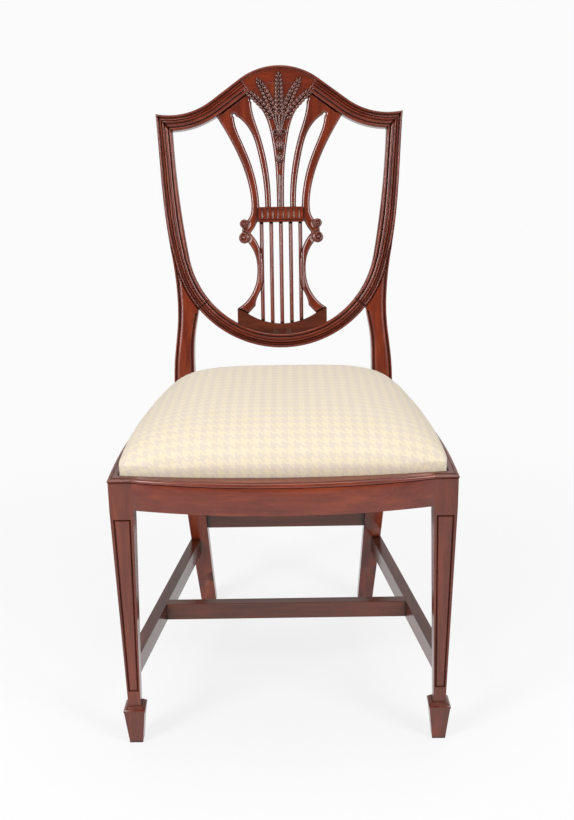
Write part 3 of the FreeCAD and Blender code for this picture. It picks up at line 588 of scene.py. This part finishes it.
def spiral_bead(name, x, s, radius, start, turns, thick):
    steps = 54
    line = bpy.data.curves.new(name, "CURVE")
    line.dimensions = "3D"
    line.bevel_depth = thick * MM
    line.bevel_resolution = 3
    line.use_fill_caps = True
    path = line.splines.new("POLY")
    path.points.add(steps)
    for i, point in enumerate(path.points):
        t = i / steps
        reach = (radius - thick * 0.8) * (1 - 0.72 * t)
        angle = start + math.radians(360) * turns * t
        point.co = (*on_back(x + reach * math.cos(angle), s + reach * math.sin(angle), -3.9 + 0.6 * t), 1)
        point.radius = 1 - 0.35 * t
    bead = bpy.data.objects.new(name, line)
    bpy.context.scene.collection.objects.link(bead)
    activate(bead)
    bpy.ops.object.convert(target="MESH")
    bpy.ops.object.shade_smooth()
    return bead


def dome(name, x, s, n, radius, height):
    bpy.ops.mesh.primitive_uv_sphere_add(segments=20, ring_count=10, radius=1)
    eye = bpy.context.object
    eye.name = name
    eye.data.transform(Matrix.Diagonal((radius * MM, radius * MM, height * MM, 1)))
    eye.data.transform(BACK_MATRIX.to_3x3().to_4x4())
    eye.data.transform(Matrix.Translation(on_back(x, s, n)))
    bpy.ops.object.shade_smooth()
    return eye


volutes = []
for side in (-1, 1):
    for x, s, radius in DISCS:
        lower = s < 280
        start = math.radians(90 if lower else -90)
        turns = -1.35 if lower else 1.35
        start = start if side > 0 else math.radians(180) - start
        volutes.append(spiral_bead("spiral", side * x, s, radius, start, turns * side, radius * 0.19))
        volutes.append(dome("eye", side * x, s, -3.4, radius * 0.26, 1.7))


def join(pieces, name):
    bpy.ops.object.select_all(action="DESELECT")
    for piece in pieces:
        piece.select_set(True)
    bpy.context.view_layer.objects.active = pieces[0]
    bpy.ops.object.join()
    pieces[0].name = name
    return pieces[0]


volutes = join(volutes, "carved_volutes")
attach(volutes, "frame")
paint(volutes, back_wood)
print("volutes", len(volutes.data.polygons), "faces")

# %% [markdown]
# ## The carved wheat
# The head of the splat carries five ears of wheat, their stalks drawn together by a ribbon, and
# two bellflower husks below it. A carver cuts every grain with the same gouge. So one grain is
# made from a sphere, pointed and flattened, and copied down both sides of each ear.

# %% One grain
bpy.ops.mesh.primitive_uv_sphere_add(segments=8, ring_count=7, radius=1)
grain = bpy.context.object
grain.name = "grain"
for vertex in grain.data.vertices:
    along = vertex.co.z
    slim = 1 - 0.45 * max(along, 0) ** 1.5 - 0.15 * max(-along, 0)
    vertex.co = (vertex.co.x * slim, along, vertex.co.y * slim)
bpy.ops.object.shade_smooth()


def carve(shape, x, s, n, turn, width, length, height, lean=0.0):
    # A copy of a shape that points along its own Y, turned and set on the back's face
    copy = shape.copy()
    copy.data = shape.data.copy()
    bpy.context.scene.collection.objects.link(copy)
    sized = Matrix.Diagonal((width / 2 * MM, length / 2 * MM, height * MM, 1))
    turned = Matrix.Rotation(turn, 4, "Z") @ Matrix.Rotation(lean, 4, "X") @ sized
    copy.data.transform(BACK_MATRIX @ Matrix.Translation((x * MM, s * MM, n * MM)) @ turned)
    copy.data.update()
    return copy


print("grain", len(grain.data.polygons), "faces")

# %% Ears of wheat
GROUND = -5.0
EARS = [((0, 487), (0, 524), (0, 558), 10, 17.5), ((8, 489), (20, 522), (37, 547.5), 9, 17.0),
        ((-8, 489), (-20, 522), (-37, 547.5), 9, 17.0), ((12, 482), (35, 514), (58.5, 529), 9, 16.0),
        ((-12, 482), (-35, 514), (-58.5, 529), 9, 16.0)]


def bend_point(a, b, c, t):
    return [(1 - t) ** 2 * p + 2 * t * (1 - t) * q + t * t * r for p, q, r in zip(a, b, c)]


carving = []
for foot, bend, tip, rows, wide in EARS:
    for row in range(rows):
        t = (row + 0.3) / rows
        x, s = bend_point(foot, bend, tip, t)
        nx, ns = bend_point(foot, bend, tip, t + 0.02)
        heading = math.atan2(ns - s, nx - x) - math.radians(90)
        width = wide * (0.42 + 0.58 * math.sin(math.radians(180) * min(0.2 + t * 0.78, 0.98)) ** 0.7)
        for side in (-1, 1):
            offset = side * width * 0.25
            gx, gs = x + offset * math.cos(heading), s + offset * math.sin(heading)
            carving.append(carve(grain, gx, gs, GROUND + 0.9, heading - side * math.radians(27), width * 0.42,
                                 9.2, 2.6, math.radians(12)))
        carving.append(carve(grain, x, s + 1.5, GROUND + 1.9, heading, width * 0.22, 6.0, 1.8, math.radians(12)))
    x, s = tip
    carving.append(carve(grain, x, s, GROUND + 1.0, heading, 3.6, 9.5, 2.2, math.radians(10)))
print("ears:", len(carving), "grains")

# %% Stalks, ribbon and husks


def tapered_bead(name, points, widths, n, flat=0.8):
    line = bpy.data.curves.new(name, "CURVE")
    line.dimensions = "3D"
    line.bevel_depth = 1 * MM
    line.bevel_resolution = 3
    line.use_fill_caps = True
    line.resolution_u = 8
    path = line.splines.new("NURBS")
    path.points.add(len(points) - 1)
    for point, (x, s), width in zip(path.points, points, widths):
        point.co = (x * MM, s * MM, 0, 1)
        point.radius = width / 2
    path.order_u = 3
    path.use_endpoint_u = True
    bead = bpy.data.objects.new(name, line)
    bpy.context.scene.collection.objects.link(bead)
    activate(bead)
    bpy.ops.object.convert(target="MESH")
    bead.data.transform(BACK_MATRIX @ Matrix.Translation((0, 0, n * MM)) @ Matrix.Diagonal((1, 1, flat, 1)))
    bpy.ops.object.shade_smooth()
    return bead


for start, middle in ((-12, -3.4), (-7, -1.8), (0, 0), (7, 1.8), (12, 3.4)):
    carving.append(tapered_bead("stalk", [(start, 490), (start * 0.75, 478), (middle * 1.1, 463), (middle, 452)],
                                [2.6, 2.8, 2.4, 2.2], GROUND + 0.9, 0.9))
for side in (-1, 1):
    carving.append(tapered_bead("ribbon loop", [(0, 455), (side * 5, 460.5), (side * 10.2, 461), (side * 11.4, 456),
                                                (side * 7.6, 452.6), (side * 1, 454)],
                                [2.4, 3.2, 3.0, 2.8, 2.8, 2.2], GROUND + 1.4, 1.1))
    carving.append(tapered_bead("ribbon end", [(side * 1, 453), (side * 5, 449), (side * 7.6, 445)],
                                [2.2, 3.2, 1.4], GROUND + 1.0))
carving.append(carve(grain, 0, 455, GROUND + 1.8, 0, 6.0, 5.5, 2.6))
for top, size in ((447, 1.0), (422, 0.86)):
    for side in (-1, 1):
        for spread, reach, wide, lift in ((7.2, 20, 6.4, 0.6), (3.4, 23, 5.0, 1.4)):
            x = side * spread * 0.62 * size
            carving.append(carve(grain, x, top - reach * 0.5 * size, GROUND + lift,
                                 math.radians(180) + side * math.radians(13), wide * size, reach * size, 2.4,
                                 math.radians(4)))
    carving.append(carve(grain, 0, top - 13.5 * size, GROUND + 2.0, math.radians(180), 4.4 * size, 19 * size, 2.4))
    carving.append(carve(grain, 0, top - 1.0, GROUND + 1.0, 0, 6.0 * size, 5.0 * size, 2.2))
carving.append(tapered_bead("husk stalk", [(0, 403), (0, 396), (0, 391), (0, 388)], [3.4, 2.8, 2.4, 1.2],
                            GROUND + 0.6))
carving.append(tapered_bead("reed", [(0, 327), (0, 345), (0, 365), (0, 382.5)], [7.0, 7.4, 8.0, 8.6],
                            GROUND - 1.6, 1.0))
bpy.data.objects.remove(grain)
carving = join(carving, "carved_wheat")
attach(carving, "frame")
paint(carving, carved_wood)
print("carving", len(carving.data.polygons), "faces")

# %% [markdown]
# ## Caps on the spade feet
# Where the tapered leg meets its spade foot, the real leg has a small square moulding: a flat
# band, a chamfer and a step. A square is extruded upwards and drawn in at each change.

# %% Spade foot caps
CAP_STEPS = [(16.3, 55.0), (16.3, 58.2), (14.4, 60.4), (12.7, 60.6), (12.7, 62.4), (11.6, 63.2)]


def foot_cap(name, x, y):
    bpy.ops.object.select_all(action="DESELECT")
    bpy.ops.mesh.primitive_plane_add(size=2 * CAP_STEPS[0][0] * MM, location=(x * MM, y * MM + FRONT_PLANE, 0))
    cap = bpy.context.object
    cap.name = name
    bpy.ops.object.transform_apply(location=True, rotation=False, scale=False)
    cap.data.transform(Matrix.Translation((0, 0, CAP_STEPS[0][1] * MM)))
    bpy.ops.object.mode_set(mode="EDIT")
    bpy.ops.mesh.select_all(action="SELECT")
    centre = (x * MM, y * MM + FRONT_PLANE, 0)
    for (half, low), (next_half, high) in zip(CAP_STEPS, CAP_STEPS[1:]):
        bpy.ops.mesh.extrude_region_move(TRANSFORM_OT_translate={"value": (0, 0, (high - low) * MM)})
        ratio = next_half / half
        bpy.ops.transform.resize(value=(ratio, ratio, 1), center_override=centre)
    bpy.ops.mesh.select_all(action="SELECT")
    bpy.ops.mesh.normals_make_consistent(inside=False)
    bpy.ops.object.mode_set(mode="OBJECT")
    soften(cap, 0.35, angle=30)
    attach(cap, "frame")
    paint(cap, leg_wood)
    return cap


for side in (-1, 1):
    cap = foot_cap("foot_cap_right" if side > 0 else "foot_cap_left", side * 232, 17)
print("cap", len(cap.data.polygons), "faces")

# %% [markdown]
# ## Scratched lines on the front legs
# The front and the outer face of each front leg have a long narrow panel, drawn with a scratch
# stock along a fence. The frame has it as a fine line; the real one is a wider groove with sloping
# sides, dark with old polish; the finish's Ambient Occlusion darkens it, partly with painted shade. A wedge is run
# along each of the four lines and cut away.

# %% Scratch the panels
LEG_AXIS, BLOCK_WIDTH, ANKLE_WIDTH, BLOCK_LOW, ANKLE_HIGH = 232.0, 34.0, 18.5, 386.0, 64.0
LINE_MARGIN, LINE_INSET, LINE_TOP, LINE_LOW = 0.14, 0.65, 370.3, 89.7
GROOVE_HALF, GROOVE_DEEP = 1.5, 1.7


def panel_corners():
    # Corners of the panel on a face that looks towards -y, about the leg's axis
    corners = []
    for height, side in ((LINE_TOP, -1), (LINE_TOP, 1), (LINE_LOW, 1), (LINE_LOW, -1)):
        width = ANKLE_WIDTH + (BLOCK_WIDTH - ANKLE_WIDTH) * (height - ANKLE_HIGH) / (BLOCK_LOW - ANKLE_HIGH)
        corners.append(Vector((side * (width * (0.5 - LINE_MARGIN) - LINE_INSET), -width / 2, height)))
    return corners


def wedge(start, end, out, place):
    along = (end - start).normalized()
    across = along.cross(out)
    points = []
    for point in (start - along * GROOVE_HALF * 0.8, end + along * GROOVE_HALF * 0.8):
        points += [point - out * GROOVE_DEEP, point + across * GROOVE_HALF * 1.3 + out * GROOVE_DEEP * 0.3,
                   point - across * GROOVE_HALF * 1.3 + out * GROOVE_DEEP * 0.3]
    mesh = bpy.data.meshes.new("scratch")
    mesh.from_pydata([place @ point for point in points], [],
                     [(0, 1, 2), (5, 4, 3), (0, 3, 4, 1), (1, 4, 5, 2), (2, 5, 3, 0)])
    cutter = bpy.data.objects.new("scratch", mesh)
    bpy.context.scene.collection.objects.link(cutter)
    activate(cutter)
    bpy.ops.object.mode_set(mode="EDIT")
    bpy.ops.mesh.select_all(action="SELECT")
    bpy.ops.mesh.normals_make_consistent(inside=False)
    bpy.ops.object.mode_set(mode="OBJECT")
    return cutter


for side, sign in (("right", 1), ("left", -1)):
    leg = board_from("front_leg_" + side, "scratched_front_leg_" + side, flat=0.03)
    corners = panel_corners()
    out = (corners[0] - corners[3]).cross(corners[1] - corners[0]).normalized()
    if out.y > 0:
        out = -out
    axis = Matrix.Translation((sign * LEG_AXIS * MM, BLOCK_WIDTH / 2 * MM + FRONT_PLANE, 0)) @ Matrix.Scale(MM, 4)
    for turn in (0, sign * math.radians(90)):
        place = axis @ Matrix.Rotation(turn, 4, "Z")
        for start, end in zip(corners, corners[1:] + corners[:1]):
            cut(leg, wedge(start, end, out, place))
    place_on(leg, "front_leg_" + side)
    arris = leg.modifiers.new("arris", "BEVEL")
    arris.width = 0.55 * MM
    arris.segments = 2
    arris.limit_method = "ANGLE"
    arris.angle_limit = math.radians(62)
    paint(leg, leg_wood)
    print(leg.name, len(leg.data.polygons), "faces")

# %% [markdown]
# ## Arrises
# A hand plane leaves an edge sharp, and a century of dusters rounds it. The legs, rails and
# stretchers keep their exact shape from the frame, and a live Weld and Bevel give them
# the small round arris that catches the light.

# %% Small round arrises on the frame's own pieces
for name, piece in nodes.items():
    if piece.hide_render or any(word in name for word in HIDDEN):
        continue
    weld = piece.modifiers.new("weld", "WELD")
    weld.merge_threshold = 0.000004
    arris = piece.modifiers.new("arris", "BEVEL")
    arris.width = 0.55 * MM
    arris.segments = 2
    arris.limit_method = "ANGLE"
    arris.angle_limit = math.radians(38)
    arris.use_clamp_overlap = True
print("arrises on")

# %% [markdown]
# ## The seat
# The loose seat is a beech frame with webbing, hessian and curled hair, pulled down tight under a
# woven cover. What is seen is the cover: a crowned pad with nearly upright sides. Its grid
# is drawn as a smooth crown, with points spaced evenly along the cloth, so that
# their distances are the cloth's own length and width. Cloth with a little pressure then pulls it tight.

# %% The pad's shape
WALL, CROWN_START = 15.0, 52.0
HALF_DEPTH, MIDDLE_DEPTH, SEAT_BACK = 206.5, 240.0, 446.2
NX, NY = 49, 45


def seat_half_width(y):
    taper = (min(max(y, 34), 448) - 34) / 414
    return 249 - 52.5 * taper + 14 * (1 - ((y - 241) / 207) ** 2) - 12.7


def seat_front(x):
    return -2 + 17 * (x / 229) ** 2


def crown(u, v):
    return CROWN_START * max(1 - abs(u) ** 4, 0) ** 0.5 * max(1 - abs(v) ** 5, 0) ** 0.5


def even_steps(count, half, height):
    # Places from -1 to 1 that lie evenly along the crowned line
    fine = [-1 + 2 * i / 2000 for i in range(2001)]
    run = [0.0]
    for a, b in zip(fine, fine[1:]):
        run.append(run[-1] + math.hypot((b - a) * half, height(b) - height(a)))
    places, j = [], 0
    for i in range(count):
        goal = run[-1] * i / (count - 1)
        while run[j] < goal and j < 2000:
            j += 1
        places.append(fine[j])
    places[0], places[-1] = -1.0, 1.0
    return places


across = even_steps(NX, 235, lambda t: crown(t, 0))
along = even_steps(NY, HALF_DEPTH, lambda t: crown(0, t))


def pad_point(u, v):
    # The front edge is bowed, so the width is found again once the point's real depth is known
    y = MIDDLE_DEPTH + v * HALF_DEPTH
    for _ in range(3):
        x = u * seat_half_width(y)
        front = seat_front(x)
        y = front + (SEAT_BACK - front) * (v + 1) / 2
    return Vector((x * MM, y * MM + FRONT_PLANE, RAIL_TOP + (WALL + crown(u, v)) * MM))


points = [pad_point(u, v) for v in along for u in across]
cloth = [None] * len(points)
for j in range(NY):
    row = points[j * NX:(j + 1) * NX]
    run = [0.0]
    for a, b in zip(row, row[1:]):
        run.append(run[-1] + (b - a).length)
    for i in range(NX):
        cloth[j * NX + i] = [run[i] - run[NX // 2], 0]
for i in range(NX):
    run = [0.0]
    for j in range(1, NY):
        run.append(run[-1] + (points[j * NX + i] - points[(j - 1) * NX + i]).length)
    for j in range(NY):
        cloth[j * NX + i][1] = run[j] - run[NY // 2]
faces = [(j * NX + i, j * NX + i + 1, (j + 1) * NX + i + 1, (j + 1) * NX + i)
         for j in range(NY - 1) for i in range(NX - 1)]
edge = ([i for i in range(NX)] + [j * NX + NX - 1 for j in range(1, NY)]
        + [(NY - 1) * NX + i for i in range(NX - 2, -1, -1)] + [j * NX for j in range(NY - 2, 0, -1)])
middle = Vector((0, MIDDLE_DEPTH * MM + FRONT_PLANE, 0))
ring = edge
for drop, inwards in ((1, 0), (6, 0), (11, 0), (15, 0), (20, 0.3), (24.6, 0.8), (25.4, 3), (25.4, 26)):
    new_ring = []
    for source, i in zip(edge, ring):
        place = points[source]
        inner = (middle - Vector((place.x, place.y, 0))).normalized() * inwards * MM
        points.append(Vector((place.x + inner.x, place.y + inner.y, RAIL_TOP + (WALL - drop) * MM)))
        a, b = cloth[source]
        cloth.append([a + math.copysign(drop * MM, a) * (abs(place.x) > 0.18),
                      b + math.copysign(drop * MM, b) * (abs(place.x) < 0.22)])
        new_ring.append(len(points) - 1)
    for k in range(len(ring)):
        n = (k + 1) % len(ring)
        faces.append((ring[n], ring[k], new_ring[k], new_ring[n]))
    ring = new_ring
faces.append(tuple(reversed(ring)))
mesh = bpy.data.meshes.new("pad")
mesh.from_pydata(points, [], faces)
pad = bpy.data.objects.new("stuffed_seat", mesh)
bpy.context.scene.collection.objects.link(pad)
layer = mesh.uv_layers.new(name="cloth")
for loop in mesh.loops:
    layer.data[loop.index].uv = cloth[loop.vertex_index]
print("pad", len(points), "points, cloth", round(cloth[NX - 1][0] * 2, 3), "m across its front")

# %% Pull the cover tight
activate(pad)
bpy.ops.object.mode_set(mode="EDIT")
bpy.ops.mesh.select_all(action="SELECT")
bpy.ops.mesh.normals_make_consistent(inside=False)
bpy.ops.object.mode_set(mode="OBJECT")
held = pad.vertex_groups.new(name="held")
corner_low = RAIL_TOP + (WALL + 1) * MM
held.add([v.index for v in pad.data.vertices
          if v.co.z < RAIL_TOP + 1.5 * MM or (v.co.z < corner_low and abs(v.co.x) > 0.17)], 1.0, "REPLACE")
before = [v.co.copy() for v in pad.data.vertices]
cover = pad.modifiers.new("cover", "CLOTH")
cover.settings.quality = 4
cover.settings.mass = 0.3
cover.settings.tension_stiffness = 25
cover.settings.compression_stiffness = 25
cover.settings.bending_stiffness = 8
cover.settings.use_pressure = True
cover.settings.uniform_pressure_force = 4
cover.settings.vertex_group_mass = "held"
cover.settings.effector_weights.gravity = 0
for step in range(1, 21):
    bpy.context.scene.frame_set(step)
bpy.ops.object.modifier_apply(modifier="cover")
bpy.context.scene.frame_set(1)
most = 0
for vertex, start in zip(pad.data.vertices, before):
    move = vertex.co - start
    most = max(most, move.length)
    if move.length > 6 * MM:
        vertex.co = start + move.normalized() * 6 * MM
calm = pad.modifiers.new("calm", "SMOOTH")
calm.factor = 0.5
calm.iterations = 3
calm.vertex_group = "held"
calm.invert_vertex_group = True
bpy.ops.object.modifier_apply(modifier="calm")
print("cover moved up to", round(most * 1000, 1), "mm")
finer = pad.modifiers.new("finer", "SUBSURF")
finer.levels = 1
finer.render_levels = 1
bpy.ops.object.modifier_apply(modifier="finer")
bpy.ops.object.shade_smooth()
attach(pad, "slip_seat")
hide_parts("seat_cover", "hair_stuffing")
print("pad top", round(max(v.co.z for v in pad.data.vertices), 4))

# %% [markdown]
# The cover is a houndstooth, the pattern that a 2/2 twill makes when four dark threads follow
# four light ones both ways. One repeat is 16.7 mm on the real cloth, so a thread is 2.1 mm. The
# pattern follows the cloth's own lengths, kept in the pad's UV map in metres. Each thread
# is slightly round, which gives the bump.

# %% Houndstooth cloth
REPEAT = 16.7
finish, tree, output = new_finish("houndstooth wool and cotton")


def math_node(operation, a, b=0.0, c=0.0):
    return add(tree, "Math", {"operation": operation}, {0: a, 1: b, 2: c}).outputs[0]


where = add(tree, "UVMap", {"uv_map": "cloth"}).outputs["UV"]
wobble = add(tree, "TexNoise", inputs={"Vector": where, "Scale": 160.0, "Detail": 2.0}).outputs["Color"]
wavy = add(tree, "VectorMath", {"operation": "MULTIPLY_ADD"}, {0: wobble, 1: (0.0009, 0.0009, 0), 2: where})
parts = add(tree, "SeparateXYZ", inputs={0: wavy.outputs[0]})
warp_place = math_node("MULTIPLY", parts.outputs["X"], 8 / (REPEAT * MM))
weft_place = math_node("MULTIPLY", parts.outputs["Y"], 8 / (REPEAT * MM))
warp_number, weft_number = math_node("FLOOR", warp_place), math_node("FLOOR", weft_place)
warp_dark = math_node("LESS_THAN", math_node("FLOORED_MODULO", warp_number, 8.0), 3.5)
weft_dark = math_node("LESS_THAN", math_node("FLOORED_MODULO", weft_number, 8.0), 3.5)
both_numbers = math_node("ADD", warp_number, weft_number)
warp_over = math_node("LESS_THAN", math_node("FLOORED_MODULO", both_numbers, 4.0), 1.5)
warp_part = math_node("MULTIPLY", warp_dark, warp_over)
weft_part = math_node("MULTIPLY", weft_dark, math_node("SUBTRACT", 1.0, warp_over))
dark = math_node("ADD", warp_part, weft_part)
round_warp = math_node("ABSOLUTE", math_node("SINE", math_node("MULTIPLY", warp_place, math.pi)))
round_weft = math_node("ABSOLUTE", math_node("SINE", math_node("MULTIPLY", weft_place, math.pi)))
yarn = add(tree, "Mix", inputs={"Factor": warp_over, 2: round_weft, 3: round_warp}).outputs[0]
slub = add(tree, "TexNoise", inputs={"Vector": where, "Scale": 900.0, "Detail": 3.0}).outputs["Fac"]
patchy = add(tree, "TexNoise", inputs={"Vector": where, "Scale": 55.0, "Detail": 2.0}).outputs["Fac"]
cream = add(tree, "Mix", {"data_type": "RGBA"}, {"Factor": patchy, 6: linear("#dbcdab"), 7: linear("#ddd1bd")})
mauve = add(tree, "Mix", {"data_type": "RGBA"}, {"Factor": patchy, 6: linear("#d3c5b0"), 7: linear("#d0c3b9")})
woven = add(tree, "Mix", {"data_type": "RGBA"}, {"Factor": dark, 6: cream.outputs[2], 7: mauve.outputs[2]})
between = add(tree, "MapRange", inputs={"Value": yarn, "From Min": 0.0, "From Max": 0.6, "To Min": 0.86, "To Max": 1.0})
shaded = add(tree, "Mix", {"data_type": "RGBA", "blend_type": "MULTIPLY"},
             {"Factor": 1.0, 6: woven.outputs[2], 7: between.outputs[0]})
height = math_node("MULTIPLY_ADD", slub, 0.5, yarn)
bump = add(tree, "Bump", inputs={"Height": height, "Strength": 0.35, "Distance": 0.0004})
shader = add(tree, "BsdfPrincipled", inputs={"Base Color": shaded.outputs[2], "Roughness": 0.85,
                                             "Sheen Weight": 0.25, "Sheen Roughness": 0.4,
                                             "Normal": bump.outputs[0]})
tree.links.new(shader.outputs[0], output.inputs["Surface"])
paint(pad, finish)

# %% [markdown]
# ## Under the seat
# Turned over, the chair shows its workshop side: plain beech blocks and slip frame, jute webbing,
# hessian, a black dust cloth, blued tacks and steel screws. These keep the frame's shapes and get
# simple finishes, each with its own grain or weave.

# %% Workshop finishes


def plain_finish(name, light, dark, stretch, scale, rough, metallic=0.0, bump_height=0.0002):
    finish, tree, output = new_finish(name)
    place = add(tree, "TexCoord").outputs["Object"]
    drawn = add(tree, "Mapping", inputs={"Vector": place, "Scale": stretch}).outputs["Vector"]
    grain = add(tree, "TexNoise", inputs={"Vector": drawn, "Scale": scale, "Detail": 4.0}).outputs["Fac"]
    colour = set_ramp(add(tree, "ValToRGB", inputs={"Fac": grain}), [(0.3, dark), (0.7, light)])
    bump = add(tree, "Bump", inputs={"Height": grain, "Strength": 0.3, "Distance": bump_height})
    worn = add(tree, "MapRange", inputs={"Value": grain, "To Min": rough - 0.08, "To Max": rough + 0.08})
    shader = add(tree, "BsdfPrincipled", inputs={"Base Color": colour, "Roughness": worn.outputs[0],
                                                 "Metallic": metallic, "Normal": bump.outputs[0]})
    tree.links.new(shader.outputs[0], output.inputs["Surface"])
    return finish


def woven_finish(name, light, dark, pitch):
    # Two sets of threads, each pitch mm apart, drawn as crossed waves
    finish, tree, output = new_finish(name)
    place = add(tree, "TexCoord").outputs["Object"]
    threads = [add(tree, "TexWave", {"wave_type": "BANDS", "bands_direction": direction, "wave_profile": "SIN"},
                   {"Vector": place, "Scale": 314.0 / pitch / 10, "Distortion": 0.6, "Detail Scale": 2.0})
               for direction in ("X", "Y")]
    crossed = add(tree, "Math", {"operation": "MULTIPLY"},
                  {0: threads[0].outputs["Fac"], 1: threads[1].outputs["Fac"]}).outputs[0]
    uneven = add(tree, "TexNoise", inputs={"Vector": place, "Scale": 300.0, "Detail": 2.0}).outputs["Fac"]
    mixed = add(tree, "Math", {"operation": "MULTIPLY_ADD"}, {0: uneven, 1: 0.5, 2: crossed}).outputs[0]
    colour = set_ramp(add(tree, "ValToRGB", inputs={"Fac": mixed}), [(0.1, dark), (0.8, light)])
    bump = add(tree, "Bump", inputs={"Height": crossed, "Strength": 0.5, "Distance": 0.0006})
    shader = add(tree, "BsdfPrincipled", inputs={"Base Color": colour, "Roughness": 0.9, "Normal": bump.outputs[0]})
    tree.links.new(shader.outputs[0], output.inputs["Surface"])
    return finish


beech = plain_finish("beech planed bare", "#c79a6b", "#a9794c", (1, 0.08, 1), 260.0, 0.6)
jute = woven_finish("jute webbing woven", "#b39a6c", "#6f5a38", 3.0)
hessian = woven_finish("hessian loosely woven", "#a98d5e", "#5f4b2c", 2.0)
dust_cloth = woven_finish("black cotton dust cloth", "#2b2a2b", "#121112", 1.0)
blued = plain_finish("steel tacks blued", "#3a3d46", "#1d1f26", (1, 1, 1), 900.0, 0.4, 1.0)
bright = plain_finish("steel screws turned", "#9a9a98", "#6d6c69", (1, 1, 1), 900.0, 0.35, 1.0)
for name, piece in nodes.items():
    if "webbing" in name:
        paint(piece, jute)
    elif name == "hessian":
        paint(piece, hessian)
    elif name == "bottom_cloth":
        paint(piece, dust_cloth)
    elif name == "cover_tacks":
        paint(piece, blued)
    elif "screws" in name:
        paint(piece, bright)
    elif "block" in name or "bearer" in name or "slip_frame" in name or name == "lunette_dowels":
        paint(piece, beech)
    elif name in ("seat_cover", "hair_stuffing"):
        paint(piece, finish)
print("hidden pieces finished")

# %% [markdown]
# ## Studio
# The photograph has a white floor that runs into a white wall, and broad soft lamps. The camera
# sees the floor mostly as plain white with a faint shadow on it; the chair is lit by the lamps.

# %% Floor and wall
WHITE = "#fbfbfb"
bpy.ops.mesh.primitive_plane_add(size=14)
floor = bpy.context.object
floor.name = "studio_floor"
finish, tree, output = new_finish("white paper floor")
plain = add(tree, "BsdfDiffuse", inputs={"Color": linear("#f4f4f5")})
glow = add(tree, "Emission", inputs={"Color": linear(WHITE), "Strength": 1.0})
paths = add(tree, "LightPath").outputs
seen = add(tree, "Math", {"operation": "MAXIMUM"}, {0: paths["Is Camera Ray"], 1: paths["Is Glossy Ray"]}).outputs[0]
away = add(tree, "VectorMath", {"operation": "LENGTH"}, {0: add(tree, "TexCoord").outputs["Object"]}).outputs["Value"]
fade = add(tree, "MapRange", inputs={"Value": away, "From Min": 0.45, "From Max": 1.3, "To Min": 0.82, "To Max": 1.0})
share = add(tree, "Math", {"operation": "MULTIPLY"}, {0: seen, 1: fade.outputs[0]})
mixed = add(tree, "MixShader", inputs={0: share.outputs[0], 1: plain.outputs[0], 2: glow.outputs[0]})
tree.links.new(mixed.outputs[0], output.inputs["Surface"])
paint(floor, finish)

world = bpy.data.worlds.new("white studio")
bpy.context.scene.world = world
world.use_nodes = True
sky = world.node_tree
for node in list(sky.nodes):
    sky.nodes.remove(node)
path = add(sky, "LightPath")
direction = add(sky, "SeparateXYZ", inputs={0: add(sky, "TexCoord").outputs["Generated"]}).outputs["Y"]
backdrop = add(sky, "MapRange", inputs={"Value": direction, "From Min": -0.5, "From Max": 0.6, "To Min": 0.1,
                                        "To Max": 0.62}).outputs[0]
lamp_sky = add(sky, "Background", inputs={"Color": linear("#ffffff"), "Strength": backdrop})
white_sky = add(sky, "Background", inputs={"Color": linear(WHITE), "Strength": 1.0})
either = add(sky, "Math", {"operation": "MAXIMUM"},
             {0: path.outputs["Is Camera Ray"], 1: path.outputs["Is Transmission Ray"]})
mixed = add(sky, "MixShader", inputs={0: either.outputs[0], 1: lamp_sky.outputs[0], 2: white_sky.outputs[0]})
end = add(sky, "OutputWorld", inputs={"Surface": mixed.outputs[0]})

# %% Lamps


def soft_lamp(name, place, aim, size, power):
    bpy.ops.object.light_add(type="AREA", location=place)
    lamp = bpy.context.object
    lamp.name = name
    lamp.data.shape = "RECTANGLE"
    lamp.data.size, lamp.data.size_y = size
    lamp.data.energy = power
    lamp.rotation_euler = (Vector(aim) - Vector(place)).to_track_quat("-Z", "Y").to_euler()
    return lamp


soft_lamp("lamp_left", (-1.9, -2.0, 1.9), (0, 0, 0.5), (0.9, 1.8), 68)
soft_lamp("lamp_right", (1.9, -1.9, 2.0), (0, 0, 0.5), (0.9, 1.8), 52)
soft_lamp("lamp_over", (0, 0.0, 3.0), (0, 0, 0.4), (1.6, 1.6), 24)
bpy.context.scene.view_settings.view_transform = "Standard"
print("studio ready")
